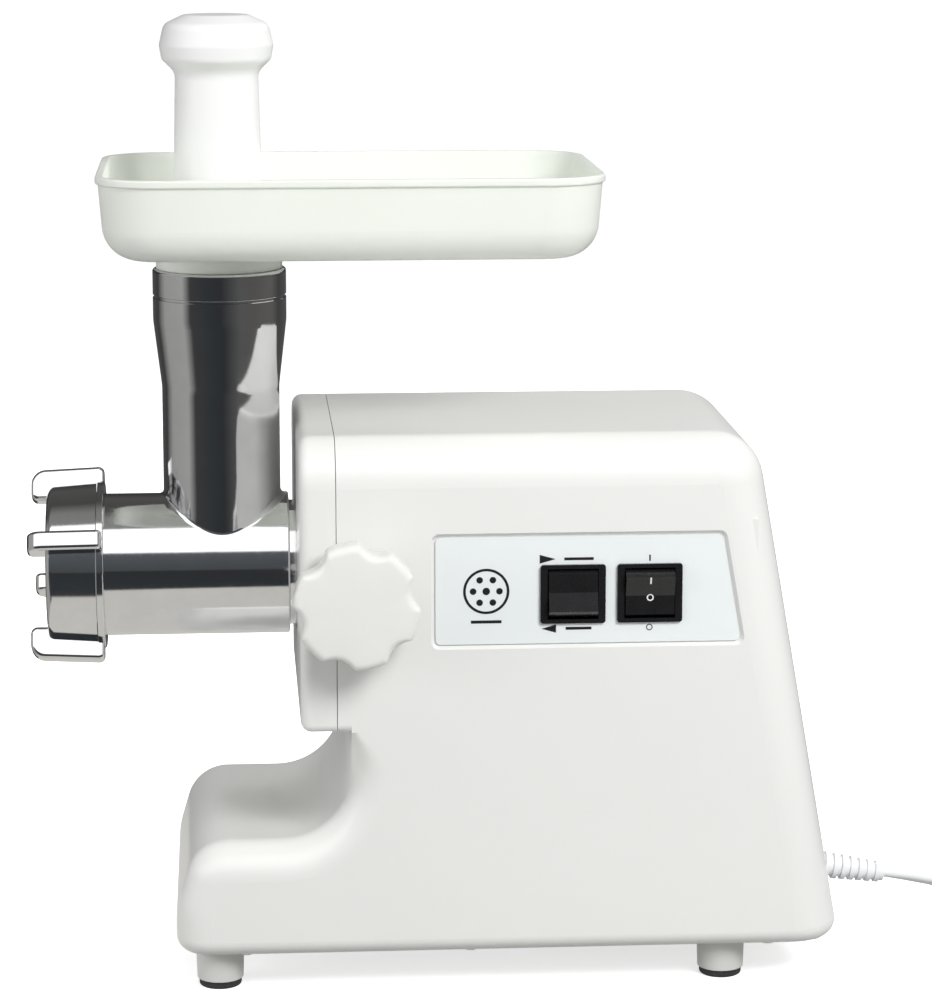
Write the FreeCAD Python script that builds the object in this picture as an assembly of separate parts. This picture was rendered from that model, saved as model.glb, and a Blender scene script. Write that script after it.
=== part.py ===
import FreeCAD, Part
import math
import os

# Electric meat grinder, millimetres, +Z up.
# The origin is on the table under the middle of the machine. The feed end points to -X and the
# controls face -Y. The power cord leaves at the rear, towards +X.

os.makedirs("parts", exist_ok=True)
Vector = FreeCAD.Vector

# ---- Driving dimensions ---------------------------------------------------------------------

throat_x = -90.0          # axis of the feed throat
mid_y = 11.5              # middle plane of the machine
barrel_z = 175.5          # axis of barrel, feed screw and output shaft
running_fit = 0.05        # radial play of a turning shaft
clearance = 0.3           # play between pieces that come apart by hand

# Housing
housing_half = 75.0
wall = 3.0
top_z = 241.5
nose_x = throat_x + 32.0
cap_depth = 15.5
seam_gap = 0.3
nose_under_z = 116.5
neck_x = throat_x + 53.5
foot_top_z = 66.5
foot_front_x = throat_x - 22.0
base_z = 17.5
rear_bottom_x = throat_x + 267.0
rear_lean = math.radians(10.0)
shoulder_radius = 20.0    # long edges of the roof and the back
foot_radius = 15.0        # long edges of the foot, where it is widest
neck_radius = 3.0         # the same edges where they fade out at the neck
nose_corner = 3.5         # lower edges of the nose
hem_radius = 7.0          # lower rim

# Control side
panel_depth = 2.0
label_thick = 0.9
switch_width = 27.7
switch_height = 25.3
switch_z = barrel_z - 0.2
direction_x = throat_x + 147.6
power_x = throat_x + 180.3
rocker_radius = 10.6
rocker_swing = 9.0        # degrees each side of the middle

# Clamp knob
knob_x = throat_x + 55.3
knob_z = 175.0
knob_radius = 26.8
knob_face_y = mid_y - 98.0
knob_thick = 15.0
clamp_screw_radius = 4.0
boss_radius = 9.0         # the socket's threaded boss, which reaches through the shell

# Grinding head
barrel_radius = 31.2
shank_radius = 27.5
bore_radius = 25.5
barrel_front_x = throat_x - 70.0
barrel_rear_x = throat_x + 29.0
bore_rear_x = throat_x + 60.0
shank_rear_x = throat_x + 76.0
plate_radius = 27.0
plate_thick = 6.0
plate_front_x = throat_x - 72.0
nut_front_x = throat_x - 76.5
nut_rear_x = throat_x - 51.5
nut_radius = 36.7
fin_radius = 44.0
fin_thick = 8.5
fin_phase = 26.5          # degrees from level to the nearest fin
throat_rim_z = 306.5
throat_bore = 21.5
saddle_radius = 2.4       # fillet between throat and barrel
cup_radius = 26.6

# Tray and pusher
tray_centre_x = throat_x + 56.0
tray_length = 215.0
tray_width = 140.0
tray_rim_z = 350.7
tray_floor_z = 315.2
tray_wall = 2.2
pusher_low_z = 203.0
pusher_top_z = 415.5

# Gear train: module, teeth of the small and the large gear, face width
stages = (
    (1.0, 12, 60, 7.0),
    (1.25, 12, 48, 9.0),
    (1.75, 12, 45, 16.0),
)
axle_radius = 4.0
second_axle_offset = (30.0, -39.85)      # from the output axis, along Y and Z
first_axle_offset = (0.0, -62.4)

# Motor
motor_x = throat_x + 168.0               # front face of the stator stack
stack_length = 38.0
armature_radius = 19.0
air_gap = 0.5
motor_shaft_radius = 4.0

# Power cord: a flat twin flex 6.2 wide
cord_diameter = 6.2
coil_turn_radius = 34.0
coil_half_band = 7.4
coil_height = 12.8
coil_x = 312.0
coil_y = 42.0

# ---- Small shapes ---------------------------------------------------------------------------


def box(low_x, high_x, low_y, high_y, low_z, high_z):
    size = (high_x - low_x, high_y - low_y, high_z - low_z)
    return Part.makeBox(*size, Vector(low_x, low_y, low_z))


def rod(radius, start, end):
    start = Vector(*start)
    axis = Vector(*end) - start
    return Part.makeCylinder(radius, axis.Length, start, axis)


def rod_x(radius, low_x, high_x, y=mid_y, z=barrel_z):
    return rod(radius, (low_x, y, z), (high_x, y, z))


def rod_y(radius, low_y, high_y, x, z):
    return rod(radius, (x, low_y, z), (x, high_y, z))


def rod_z(radius, low_z, high_z, x, y):
    return rod(radius, (x, y, low_z), (x, y, high_z))


def ring_x(outer, inner, low_x, high_x, y=mid_y, z=barrel_z):
    return rod_x(outer, low_x, high_x, y, z).cut(rod_x(inner, low_x - 1, high_x + 1, y, z))


def rounded_wire(corners, place):
    """A closed outline of straight sides whose corners are arcs.

    corners are (u, v, radius); place turns u and v into a point in space.
    """
    starts = []
    ends = []
    middles = []
    for index, (u, v, radius) in enumerate(corners):
        before = corners[index - 1]
        after = corners[(index + 1) % len(corners)]
        corner = place(u, v)
        back = place(before[0], before[1]) - corner
        ahead = place(after[0], after[1]) - corner
        half = back.getAngle(ahead) / 2
        back.normalize()
        ahead.normalize()
        reach = radius / math.tan(half)
        inward = back + ahead
        inward.normalize()
        starts.append(corner + back * reach)
        ends.append(corner + ahead * reach)
        middles.append(corner + inward * (radius / math.sin(half) - radius))
    edges = []
    for index, corner in enumerate(corners):
        following = (index + 1) % len(corners)
        if corner[2] > 0:
            edges.append(Part.Arc(starts[index], middles[index], ends[index]).toShape())
        if (ends[index] - starts[following]).Length > 1e-6:
            edges.append(Part.makeLine(ends[index], starts[following]))
    return Part.Wire(edges)


def plate_from(corners, place, thickness):
    """A rounded outline given a thickness along a vector."""
    return Part.Face(rounded_wire(corners, place)).extrude(Vector(*thickness))


def rounded_box(low_x, high_x, low_y, high_y, low_z, high_z, radius):
    """A box whose upright edges are rounded."""
    corners = (
        (low_x, low_y, radius),
        (high_x, low_y, radius),
        (high_x, high_y, radius),
        (low_x, high_y, radius),
    )
    return plate_from(corners, lambda x, y: Vector(x, y, low_z), (0, 0, high_z - low_z))


def turned(profile, place, centre, axis):
    """A solid of revolution from a closed outline of (u, v, radius) corners."""
    return Part.Face(rounded_wire(profile, place)).revolve(Vector(*centre), Vector(*axis), 360)


def turned_z(profile, x, y):
    """Turned about an upright axis; the outline is (radius, height, corner radius)."""
    return turned(profile, lambda r, z: Vector(x + r, y, z), (x, y, 0), (0, 0, 1))


def turned_x(profile, y=mid_y, z=barrel_z):
    """Turned about an axis along X; the outline is (x, radius, corner radius)."""
    return turned(profile, lambda x, r: Vector(x, y, z + r), (0, y, z), (1, 0, 0))


def turned_y(profile, x, z):
    """Turned about an axis along Y; the outline is (y, radius, corner radius)."""
    return turned(profile, lambda y, r: Vector(x, y, z + r), (x, 0, z), (0, 1, 0))


def middle_of(edge):
    return edge.valueAt((edge.FirstParameter + edge.LastParameter) / 2)


def edges_where(shape, test):
    return [edge for edge in shape.Edges if test(middle_of(edge))]


def near(value, target):
    return abs(value - target) < 1e-3


def fuse_all(shapes):
    return shapes[0].multiFuse(list(shapes[1:])).removeSplitter()


def screw(radius, head_radius, head_height, start, end):
    """A pan head screw; it starts at the top of its head."""
    start = Vector(*start)
    axis = Vector(*end) - start
    length = axis.Length
    axis.normalize()
    head = Part.makeCylinder(head_radius, head_height, start, axis)
    shank = Part.makeCylinder(radius, length, start, axis)
    slot_depth = head_height * 0.45
    across = axis.cross(Vector(1, 1, 1))
    across.normalize()
    slot = Part.makeBox(head_radius * 3, 0.9, slot_depth * 2)
    slot.translate(Vector(-head_radius * 1.5, -0.45, -slot_depth))
    turn = FreeCAD.Rotation(across, axis.cross(across), axis, "ZXY")
    slot.Placement = FreeCAD.Placement(start, turn).multiply(slot.Placement)
    return head.fuse(shank).cut(slot)


def save(name, *solids):
    shape = solids[0] if len(solids) == 1 else Part.makeCompound(list(solids))
    if shape.ShapeType == "Compound" and len(shape.Solids) == 1:
        shape = shape.Solids[0]
    if not shape.isValid() or not shape.Solids:
        raise ValueError(name + " is not a sound solid")
    shape.exportStep("parts/" + name + ".step")
    print(name, len(shape.Solids), round(shape.Volume))


# ---- Housing ---------------------------------------------------------------------------------

rear_top_x = rear_bottom_x - (top_z - base_z) * math.tan(rear_lean)
seam_x = nose_x + cap_depth

side_outline = (
    (nose_x, top_z, 0),
    (nose_x, nose_under_z, 0),
    (neck_x, nose_under_z, 0),
    (neck_x, foot_top_z, 30),
    (foot_front_x + 8.5, foot_top_z, 19),
    (foot_front_x, 38, 40),
    (foot_front_x, base_z, 0),
    (rear_bottom_x, base_z, 0),
    (rear_top_x, top_z, 22),
)


def inset_outline(corners, inset):
    """The same outline with every side moved inwards."""
    result = []
    for index, (x, z, radius) in enumerate(corners):
        before = corners[index - 1]
        after = corners[(index + 1) % len(corners)]
        arrive = Vector(x - before[0], z - before[1], 0).normalize()
        leave = Vector(after[0] - x, after[1] - z, 0).normalize()
        inward_in = Vector(-arrive.y, arrive.x, 0) * inset
        inward_out = Vector(-leave.y, leave.x, 0) * inset
        turn = arrive.x * leave.y - arrive.y * leave.x
        gap = inward_out - inward_in
        along = (gap.x * leave.y - gap.y * leave.x) / turn
        moved_radius = radius - inset if turn > 0 else radius + inset
        if radius == 0:
            moved_radius = 0
        result.append((x + inward_in.x + arrive.x * along, z + inward_in.y + arrive.y * along,
                       moved_radius))
    return result


def housing_solid(inset):
    """The housing's outer form, moved inwards by inset."""
    corners = inset_outline(side_outline, inset)
    half = housing_half - inset
    body = plate_from(corners, lambda x, z: Vector(x, mid_y - half, z), (0, 2 * half, 0))

    def on_side(point, side):
        return near(point.y, mid_y + side * half)

    roof = edges_where(body, lambda p: near(p.z, corners[0][1]) and near(abs(p.y - mid_y), half))
    body = body.makeFillet(shoulder_radius - inset, roof)
    for side in (-1, 1):
        neck = edges_where(
            body,
            lambda p: on_side(p, side) and near(p.x, corners[2][0]) and p.z > foot_top_z + 25,
        )
        body = body.makeFillet(max(neck_radius - inset, 0.5), foot_radius - inset, neck[:1])
    return body


outer = housing_solid(0)
hem = edges_where(outer, lambda p: near(p.z, base_z))
outer = outer.makeFillet(hem_radius, hem)


def nose_block(margin, low_x, high_x):
    """The nose's section, the same all along X, with small lower and large upper corners."""
    low_y = mid_y - housing_half + margin
    high_y = mid_y + housing_half - margin
    small = max(nose_corner - margin, 1.0)
    large = shoulder_radius - margin
    corners = (
        (low_y, nose_under_z + margin, small), (high_y, nose_under_z + margin, small),
        (high_y, top_z - margin, large), (low_y, top_z - margin, large),
    )
    return plate_from(corners, lambda y, z: Vector(low_x, y, z), (high_x - low_x, 0, 0))


inner = housing_solid(wall)

housing = outer.cut(box(nose_x - 5, neck_x, mid_y - 90, mid_y + 90, nose_under_z - 4, top_z + 5))
housing = housing.fuse(nose_block(0, seam_x + seam_gap / 2, neck_x + 0.5)).removeSplitter()

# Label recess in the control side: its floor and a sloping edge round it
recess_top = 202.0
recess_low = 152.0
recess_front = throat_x + 87.4
recess_slope = math.tan(rear_lean)
recess_rear = throat_x + 212.8


def panel_corners(margin, radius):
    high = recess_top - margin
    low = recess_low + margin
    rear_high = recess_rear - margin + (recess_top - high) * recess_slope
    rear_low = recess_rear - margin + (recess_top - low) * recess_slope
    return (
        (recess_front + margin, low, radius),
        (rear_low, low, radius),
        (rear_high, high, radius),
        (recess_front + margin, high, radius),
    )


side_y = mid_y - housing_half
recess_mouth = rounded_wire(panel_corners(0, 3.5), lambda x, z: Vector(x, side_y - 0.01, z))
recess_floor = rounded_wire(
    panel_corners(1.4, 2.6), lambda x, z: Vector(x, side_y + panel_depth, z)
)
recess = Part.makeLoft([recess_mouth, recess_floor], True, True)
panel_backing = box(recess_front - 4, recess_rear + 14, side_y + wall, side_y + wall + 2,
                    recess_low - 4, recess_top + 4)


def switch_window(x, margin, low_y, high_y):
    half_width = switch_width / 2 - margin
    half_height = switch_height / 2 - margin
    return box(x - half_width, x + half_width, low_y, high_y,
               switch_z - half_height, switch_z + half_height)


housing = housing.cut(inner)
housing = housing.fuse(panel_backing).cut(recess)
for x in (direction_x, power_x):
    housing = housing.cut(switch_window(x, 1.2, side_y - 5, side_y + 12))

# Opening in the underside for the base plate, and posts that take its screws
base_margin = hem_radius + 0.4
base_front = foot_front_x + base_margin
base_rear = rear_bottom_x - base_margin
base_half = housing_half - base_margin
housing = housing.cut(
    rounded_box(base_front, base_rear, mid_y - base_half, mid_y + base_half,
                base_z - 1, base_z + wall + 0.01, 8)
)
post_places = [
    (x, mid_y + side * (base_half - 5))
    for x in (foot_front_x + 30, throat_x + 105, rear_bottom_x - 32)
    for side in (-1, 1)
]
for x, y in post_places:
    outward = math.copysign(1, y - mid_y)
    far_y = mid_y + outward * (housing_half - 1.5)
    low_y, high_y = sorted((y - outward * 5, far_y))
    post = box(x - 5, x + 5, low_y, high_y, base_z + wall, base_z + 32)
    housing = housing.fuse(post).cut(rod_z(1.5, base_z, base_z + 24, x, y))

# Ways through the shell: clamp screw, cord, and cooling slots low in the back
cord_z = 32.0
housing = housing.cut(rod_y(boss_radius + 0.5, side_y - 1, side_y + wall + 1, knob_x, knob_z))
housing = housing.cut(rod_x(7.0, rear_bottom_x - 12, rear_bottom_x + 5, mid_y, cord_z))
slot_count = 9
slot_pitch = 7.0
for index in range(slot_count):
    z = 62.0 + slot_pitch * index
    x = rear_bottom_x - (z - base_z) * math.tan(rear_lean)
    slot = plate_from(
        ((mid_y - 30, z - 1.5, 1.4), (mid_y + 30, z - 1.5, 1.4),
         (mid_y + 30, z + 1.5, 1.4), (mid_y - 30, z + 1.5, 1.4)),
        lambda y, height: Vector(x - 9, y, height),
        (14, 0, 0),
    )
    housing = housing.cut(slot)
save("main_housing", housing)

# Front cap: the nose's own cover, with a tongue that centres it in the housing
cap_rear_x = seam_x - seam_gap / 2
cap = nose_block(0, nose_x, cap_rear_x)
cap = cap.makeFillet(4.5, edges_where(cap, lambda p: near(p.x, nose_x)))
cap = cap.cut(nose_block(wall, nose_x + wall, cap_rear_x + 1))
tongue = nose_block(wall, cap_rear_x - 2, cap_rear_x).fuse(
    nose_block(wall + 0.2, cap_rear_x - 2, seam_x + 4)
)
tongue = tongue.cut(nose_block(wall + 1.8, cap_rear_x - 3, seam_x + 5))
cap = cap.fuse(tongue).removeSplitter()
cap = cap.cut(rod_x(shank_radius + 1.2, nose_x - 5, nose_x + wall + 1))
cap = cap.cut(rod_y(boss_radius + 0.5, side_y - 1, side_y + 8, knob_x, knob_z))
save("front_cap", cap)

# Base plate with cooling slots and the holes for its screws
base_gap = 0.3
base = rounded_box(base_front + base_gap, base_rear - base_gap,
                   mid_y - base_half + base_gap, mid_y + base_half - base_gap,
                   base_z, base_z + 2.8, 7.7)
for x, y in post_places:
    base = base.cut(rod_z(1.9, base_z - 1, base_z + 4, x, y))
for index in range(10):
    x = throat_x + 165 + index * 7
    slot = rounded_box(x - 1.5, x + 1.5, mid_y - 30, mid_y + 30, base_z - 1, base_z + 4, 1.4)
    base = base.cut(slot)
save("base_plate", base)

# Label plate, a thin printed sheet in the recess
label = plate_from(
    panel_corners(1.9, 2.2),
    lambda x, z: Vector(x, side_y + panel_depth - label_thick, z),
    (0, label_thick, 0),
)
for x in (direction_x, power_x):
    label = label.cut(switch_window(x, 1.2, side_y - 5, side_y + 12))
save("label_plate", label)

# Feet: a cup screwed under the base plate, with a rubber pad pressed into it
foot_x = (throat_x - 3.5, throat_x + 215.5)
foot_names = ("front_near", "rear_near", "front_far", "rear_far")
foot_places = [(x, mid_y + side * 55.0) for side in (-1, 1) for x in foot_x]
pad_top_z = 8.0
cup_profile = (
    (0, base_z, 0), (0, pad_top_z, 0), (9.2, pad_top_z, 0), (9.2, 3.4, 0), (10.0, 3.4, 0.3),
    (10.5, base_z, 0),
)
pad_profile = ((0, pad_top_z, 0), (0, 0, 0), (9.2, 0, 1.2), (9.2, pad_top_z, 0))
for name, (x, y) in zip(foot_names, foot_places):
    save("foot_cup_" + name, turned_z(cup_profile, x, y))
save("foot_pads", *[turned_z(pad_profile, x, y) for x, y in foot_places])

base_screws = []
for x, y in post_places:
    base_screws.append(screw(1.45, 3.2, 1.6, (x, y, base_z - 1.6), (x, y, base_z + 20)))

# ---- Switches --------------------------------------------------------------------------------

switch_face_y = side_y - 0.2
pivot_y = switch_face_y + 4.6
rocker_half_width = 10.4


def switch_body(x):
    """Frame, box behind the wall and two spade terminals, hollow for the rocker."""
    frame = plate_from(
        ((x - switch_width / 2, switch_z - switch_height / 2, 1.2),
         (x + switch_width / 2, switch_z - switch_height / 2, 1.2),
         (x + switch_width / 2, switch_z + switch_height / 2, 1.2),
         (x - switch_width / 2, switch_z + switch_height / 2, 1.2)),
        lambda u, v: Vector(u, switch_face_y, v),
        (0, side_y + panel_depth - label_thick - switch_face_y, 0),
    )
    rear_y = side_y + 20
    case = switch_window(x, 1.4, side_y + 0.5, rear_y)
    shape = frame.fuse(case)
    mouth = box(x - rocker_half_width - 0.4, x + rocker_half_width + 0.4,
                switch_face_y - 1, pivot_y, switch_z - 10.9, switch_z + 10.9)
    drum = rod(rocker_radius + 0.35, (x - rocker_half_width - 0.4, pivot_y, switch_z),
               (x + rocker_half_width + 0.4, pivot_y, switch_z))
    shape = shape.cut(mouth).cut(drum)
    for offset in (-6.5, 6.5):
        blade = box(x - 3.2, x + 3.2, rear_y - 1, rear_y + 5,
                    switch_z + offset - 0.4, switch_z + offset + 0.4)
        shape = shape.fuse(blade)
    return shape


def rocker(x, tilt):
    """A drum segment whose front is a shallow valley of two flat faces."""
    drum = rod(rocker_radius, (x - rocker_half_width, pivot_y, switch_z),
               (x + rocker_half_width, pivot_y, switch_z))
    middle_y = pivot_y - 5.6
    lift = math.tan(math.radians(rocker_swing)) * 14
    corners = (
        (middle_y, switch_z, 0),
        (middle_y - lift, switch_z + 14, 0),
        (pivot_y + 5, switch_z + 14, 0),
        (pivot_y + 5, switch_z - 14, 0),
        (middle_y - lift, switch_z - 14, 0),
    )
    wedge = plate_from(
        corners, lambda y, z: Vector(x - rocker_half_width, y, z), (2 * rocker_half_width, 0, 0)
    )
    shape = drum.common(wedge)
    shape.rotate(Vector(x, pivot_y, switch_z), Vector(1, 0, 0), tilt)
    return shape


save("direction_switch_body", switch_body(direction_x))
save("power_switch_body", switch_body(power_x))
save("direction_rocker", rocker(direction_x, -rocker_swing))
save("power_rocker", rocker(power_x, rocker_swing))

# ---- Head socket and clamp knob ---------------------------------------------------------------

cover_x = throat_x + 92.0
case_x = throat_x + 96.0
case_rear_x = throat_x + 144.0
socket_front_x = nose_x + wall + 0.5
socket_bore = shank_radius + clearance
socket = ring_x(33.5, socket_bore, socket_front_x, cover_x)
flange = plate_from(
    ((mid_y - 40, barrel_z - 40, 8), (mid_y + 40, barrel_z - 40, 8),
     (mid_y + 40, barrel_z + 40, 8), (mid_y - 40, barrel_z + 40, 8)),
    lambda y, z: Vector(cover_x - 5, y, z),
    (5, 0, 0),
)
flange = flange.cut(rod_x(socket_bore, cover_x - 6, cover_x + 1))
boss = rod_y(boss_radius, side_y + 0.8, mid_y - 30, knob_x, knob_z).cut(
    rod_x(socket_bore, socket_front_x, cover_x)
)
socket = fuse_all([socket, flange, boss])
socket = socket.cut(rod_y(clamp_screw_radius + clearance, side_y - 1, mid_y, knob_x, knob_z))
flange_holes = [(y, z) for y in (mid_y - 33, mid_y + 33) for z in (barrel_z - 33, barrel_z + 33)]
for y, z in flange_holes:
    socket = socket.cut(rod_x(2.2, cover_x - 6, cover_x + 1, y, z))
save("head_socket", socket)

# Knob: a moulded disc with six shallow finger scallops round its rim
knob_back_y = knob_face_y + knob_thick
knob = turned_y(
    ((knob_face_y, 0, 0), (knob_face_y, knob_radius, 3.5), (knob_back_y, knob_radius, 2.5),
     (knob_back_y, 13.0, 0), (side_y - 1.2, 11.0, 0), (side_y - 1.2, 0, 0)),
    knob_x, knob_z,
)
scallop_count = 6
scallop_phase = -47.0
scallop_radius = 9.0
scallop_reach = knob_radius + 5.6
for index in range(scallop_count):
    angle = math.radians(scallop_phase + index * 360 / scallop_count)
    x = knob_x + scallop_reach * math.cos(angle)
    z = knob_z + scallop_reach * math.sin(angle)
    knob = knob.cut(rod_y(scallop_radius, knob_face_y - 1, knob_back_y + 1, x, z))
screw_head_y = knob_back_y - 9
screw_tip_y = mid_y - shank_radius - clearance - 0.3
clamp_screw = rod_y(clamp_screw_radius, screw_head_y, screw_tip_y, knob_x, knob_z)
clamp_screw = clamp_screw.fuse(rod_y(6.5, screw_head_y, screw_head_y + 5, knob_x, knob_z))
save("clamp_knob", knob.cut(clamp_screw))
save("clamp_screw", clamp_screw)

# ---- Gears -----------------------------------------------------------------------------------


def involute_gear(module, teeth, shift, thinning, width, x, y, z, phase):
    """A spur gear about an axis along X.

    Each flank is an arc through three points of the involute. shift moves the profile outwards in
    modules, and thinning takes backlash off the tooth at the pitch circle.
    """
    pressure = math.radians(20)
    pitch = module * teeth / 2
    base = pitch * math.cos(pressure)
    tip = pitch + module * (1 + shift)
    root = pitch - module * (1.25 - shift)
    half_tooth = (math.pi / 2 + 2 * shift * math.tan(pressure)) / teeth - thinning / (2 * pitch)
    start = max(base, root)

    def flank_angle(radius):
        """Half the tooth's angle at a radius."""
        unroll = math.acos(min(1.0, base / radius))
        involute = math.tan(unroll) - unroll
        return half_tooth + (math.tan(pressure) - pressure) - involute

    def point(radius, angle):
        return Vector(x, y + radius * math.sin(angle), z + radius * math.cos(angle))

    edges = []
    step = 2 * math.pi / teeth
    for index in range(teeth):
        centre = phase + index * step
        low = flank_angle(start)
        middle_radius = (start + tip) / 2
        middle = flank_angle(middle_radius)
        high = flank_angle(tip)
        rise = (
            point(start, centre - low),
            point(middle_radius, centre - middle),
            point(tip, centre - high),
        )
        fall = (
            point(tip, centre + high),
            point(middle_radius, centre + middle),
            point(start, centre + low),
        )
        foot_in = point(root, centre - low)
        foot_out = point(root, centre + low)
        next_foot = point(root, centre + step - low)
        if (rise[0] - foot_in).Length > 1e-5:
            edges.append(Part.makeLine(foot_in, rise[0]))
        edges.append(Part.Arc(*rise).toShape())
        edges.append(Part.Arc(rise[2], point(tip, centre), fall[0]).toShape())
        edges.append(Part.Arc(*fall).toShape())
        if (fall[2] - foot_out).Length > 1e-5:
            edges.append(Part.makeLine(fall[2], foot_out))
        edges.append(
            Part.Arc(foot_out, point(root, centre + step / 2), next_foot).toShape()
        )
    return Part.Face(Part.Wire(edges)).extrude(Vector(width, 0, 0))


def axis_place(offset):
    return mid_y + offset[0], barrel_z + offset[1]


def centre_distance(stage):
    return stage[0] * (stage[1] + stage[2]) / 2


shift = 0.35
backlash = 0.16
output_axis = (mid_y, barrel_z)
second_axis = axis_place(second_axle_offset)
first_axis = axis_place(first_axle_offset)
motor_axis = (first_axis[0], first_axis[1] - centre_distance(stages[0]) - 0.1)
output_gear_x = throat_x + 99.0
second_wheel_x = throat_x + 118.5
first_wheel_x = throat_x + 129.5


def direction_to(start, end):
    """Angle from +Z towards +Y of the line between two parallel axes."""
    return math.atan2(end[0] - start[0], end[1] - start[1])


def pinion_phase(own, other):
    """A pinion shows a tooth to its partner."""
    return direction_to(own, other)


def wheel_phase(teeth, own, other):
    """A wheel shows a gap to its partner."""
    return direction_to(own, other) + math.pi / teeth


def cluster(wheel_stage, wheel_x, wheel_turn, pinion_stage, pinion_x, pinion_turn, axis):
    """A wheel and a smaller pinion moulded in one piece, bored for a fixed pin."""
    module, _, teeth, width = wheel_stage
    wheel = involute_gear(module, teeth, -shift, backlash, width, wheel_x, *axis, wheel_turn)
    module, teeth, _, width = pinion_stage
    pinion = involute_gear(module, teeth, shift, backlash, width, pinion_x, *axis, pinion_turn)
    low_x = min(wheel_x, pinion_x)
    high_x = max(wheel_x + wheel_stage[3], pinion_x + pinion_stage[3])
    hub_radius = pinion_stage[0] * (pinion_stage[1] / 2 - 1.25 + shift) - 0.05
    hub = rod_x(hub_radius, low_x - 0.8, high_x + 0.8, *axis)
    shape = fuse_all([wheel, pinion, hub])
    return shape.cut(rod_x(axle_radius + running_fit, low_x - 5, high_x + 5, *axis))


first_wheel_turn = wheel_phase(stages[0][2], first_axis, motor_axis)
first_pinion_turn = pinion_phase(first_axis, second_axis)
second_wheel_turn = wheel_phase(stages[1][2], second_axis, first_axis)
second_pinion_turn = pinion_phase(second_axis, output_axis)
output_turn = wheel_phase(stages[2][2], output_axis, second_axis)
save("first_gear", cluster(stages[0], first_wheel_x, first_wheel_turn,
                           stages[1], second_wheel_x, first_pinion_turn, first_axis))
save("second_gear", cluster(stages[1], second_wheel_x, second_wheel_turn,
                            stages[2], output_gear_x, second_pinion_turn, second_axis))
for name, axis in (("first_axle", first_axis), ("second_axle", second_axis)):
    save(name, rod_x(axle_radius, cover_x + 1.5, case_rear_x - 1.5, *axis))

output_gear = involute_gear(stages[2][0], stages[2][2], -shift, backlash, stages[2][3],
                            output_gear_x, *output_axis, output_turn)
output_gear = output_gear.fuse(rod_x(16, output_gear_x - 1.4, output_gear_x + 17.5))
output_gear = output_gear.cut(rod_x(10.0, output_gear_x - 5, output_gear_x + 25))
for index in range(6):
    angle = math.radians(30 + 60 * index)
    y = mid_y + 25 * math.sin(angle)
    z = barrel_z + 25 * math.cos(angle)
    output_gear = output_gear.cut(rod_x(6, output_gear_x - 5, output_gear_x + 25, y, z))
save("output_gear", output_gear)

# Output shaft: a cup with a square socket for the feed screw, journals and a gear seat
square_side = 12.0
coupling_x = shank_rear_x + 3.0
journal_x = cover_x - 2.0
drive = fuse_all([
    rod_x(13.0, coupling_x, journal_x - 0.4),
    rod_x(11.0, journal_x - 0.5, output_gear_x - 1.9),
    rod_x(10.0, output_gear_x - 2.0, throat_x + 139.0),
    rod_x(8.0, throat_x + 138.9, case_rear_x),
])
half_square = square_side / 2 + clearance
drive = drive.cut(box(coupling_x - 1, coupling_x + 10.5, mid_y - half_square, mid_y + half_square,
                      barrel_z - half_square, barrel_z + half_square))
save("drive_coupling", drive)
front_bush = ring_x(15.0, 11.0 + running_fit, journal_x, case_x + 0.5)
rear_bush = ring_x(12.0, 8.0 + running_fit, throat_x + 140.0, case_rear_x)
save("output_bushes", front_bush, rear_bush)

# Gearbox: a deep case open to the front, closed by a flat cover
case_outline = (
    (mid_y - 46, 62.0, 12), (mid_y + 46, 62.0, 12), (mid_y + 68, 96.0, 10),
    (mid_y + 68, 178.0, 12), (mid_y + 48, 222.0, 12), (mid_y - 46, 222.0, 12),
)
case = plate_from(case_outline, lambda y, z: Vector(case_x, y, z), (case_rear_x - case_x, 0, 0))
cavity = plate_from(
    inset_outline(case_outline, 3.0), lambda y, z: Vector(case_x - 1, y, z), (46, 0, 0)
)
case = case.cut(cavity)
lug_places = [
    (mid_y - 42.5, 66.0), (mid_y + 42.5, 66.0), (mid_y + 62.5, 172.0),
    (mid_y - 42.5, 218.0), (mid_y - 42.5, 128.0), (mid_y + 44.0, 217.0),
]
case_block = plate_from(case_outline, lambda y, z: Vector(case_x, y, z), (24, 0, 0))
for y, z in lug_places:
    lug = rod_x(5.0, case_x, case_x + 24, y, z).common(case_block)
    case = case.fuse(lug).cut(rod_x(1.6, case_x - 1, case_x + 20, y, z))
case = case.cut(rod_x(12.0, case_rear_x - 6, case_rear_x + 1))
case = case.cut(rod_x(9.0, case_rear_x - 6, case_rear_x + 1, *motor_axis))
for axis in (first_axis, second_axis):
    case = case.fuse(rod_x(7.0, case_rear_x - 5, case_rear_x - 2, *axis))
    case = case.cut(rod_x(axle_radius, case_rear_x - 8, case_rear_x - 1.5, *axis))
save("gearbox_case", case)

cover = plate_from(case_outline, lambda y, z: Vector(cover_x, y, z), (case_x - cover_x, 0, 0))
cover = cover.cut(rod_x(15.0, cover_x - 1, case_x + 1))
for axis in (first_axis, second_axis):
    cover = cover.cut(rod_x(axle_radius, cover_x + 1.5, case_x + 1, *axis))
for y, z in lug_places:
    cover = cover.cut(rod_x(1.9, cover_x - 1, case_x + 1, y, z))
for y, z in flange_holes:
    cover = cover.cut(rod_x(1.6, cover_x - 1, case_x + 1, y, z))
save("gearbox_cover", cover)
gearbox_screws = []
for y, z in lug_places:
    gearbox_screws.append(screw(1.55, 3.2, 2.0, (cover_x - 2, y, z), (case_x + 14, y, z)))
for y, z in flange_holes:
    gearbox_screws.append(screw(1.55, 3.4, 2.0, (cover_x - 7, y, z), (case_x + 1.5, y, z)))
save("gearbox_screws", *gearbox_screws)

# ---- Motor -----------------------------------------------------------------------------------

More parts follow.
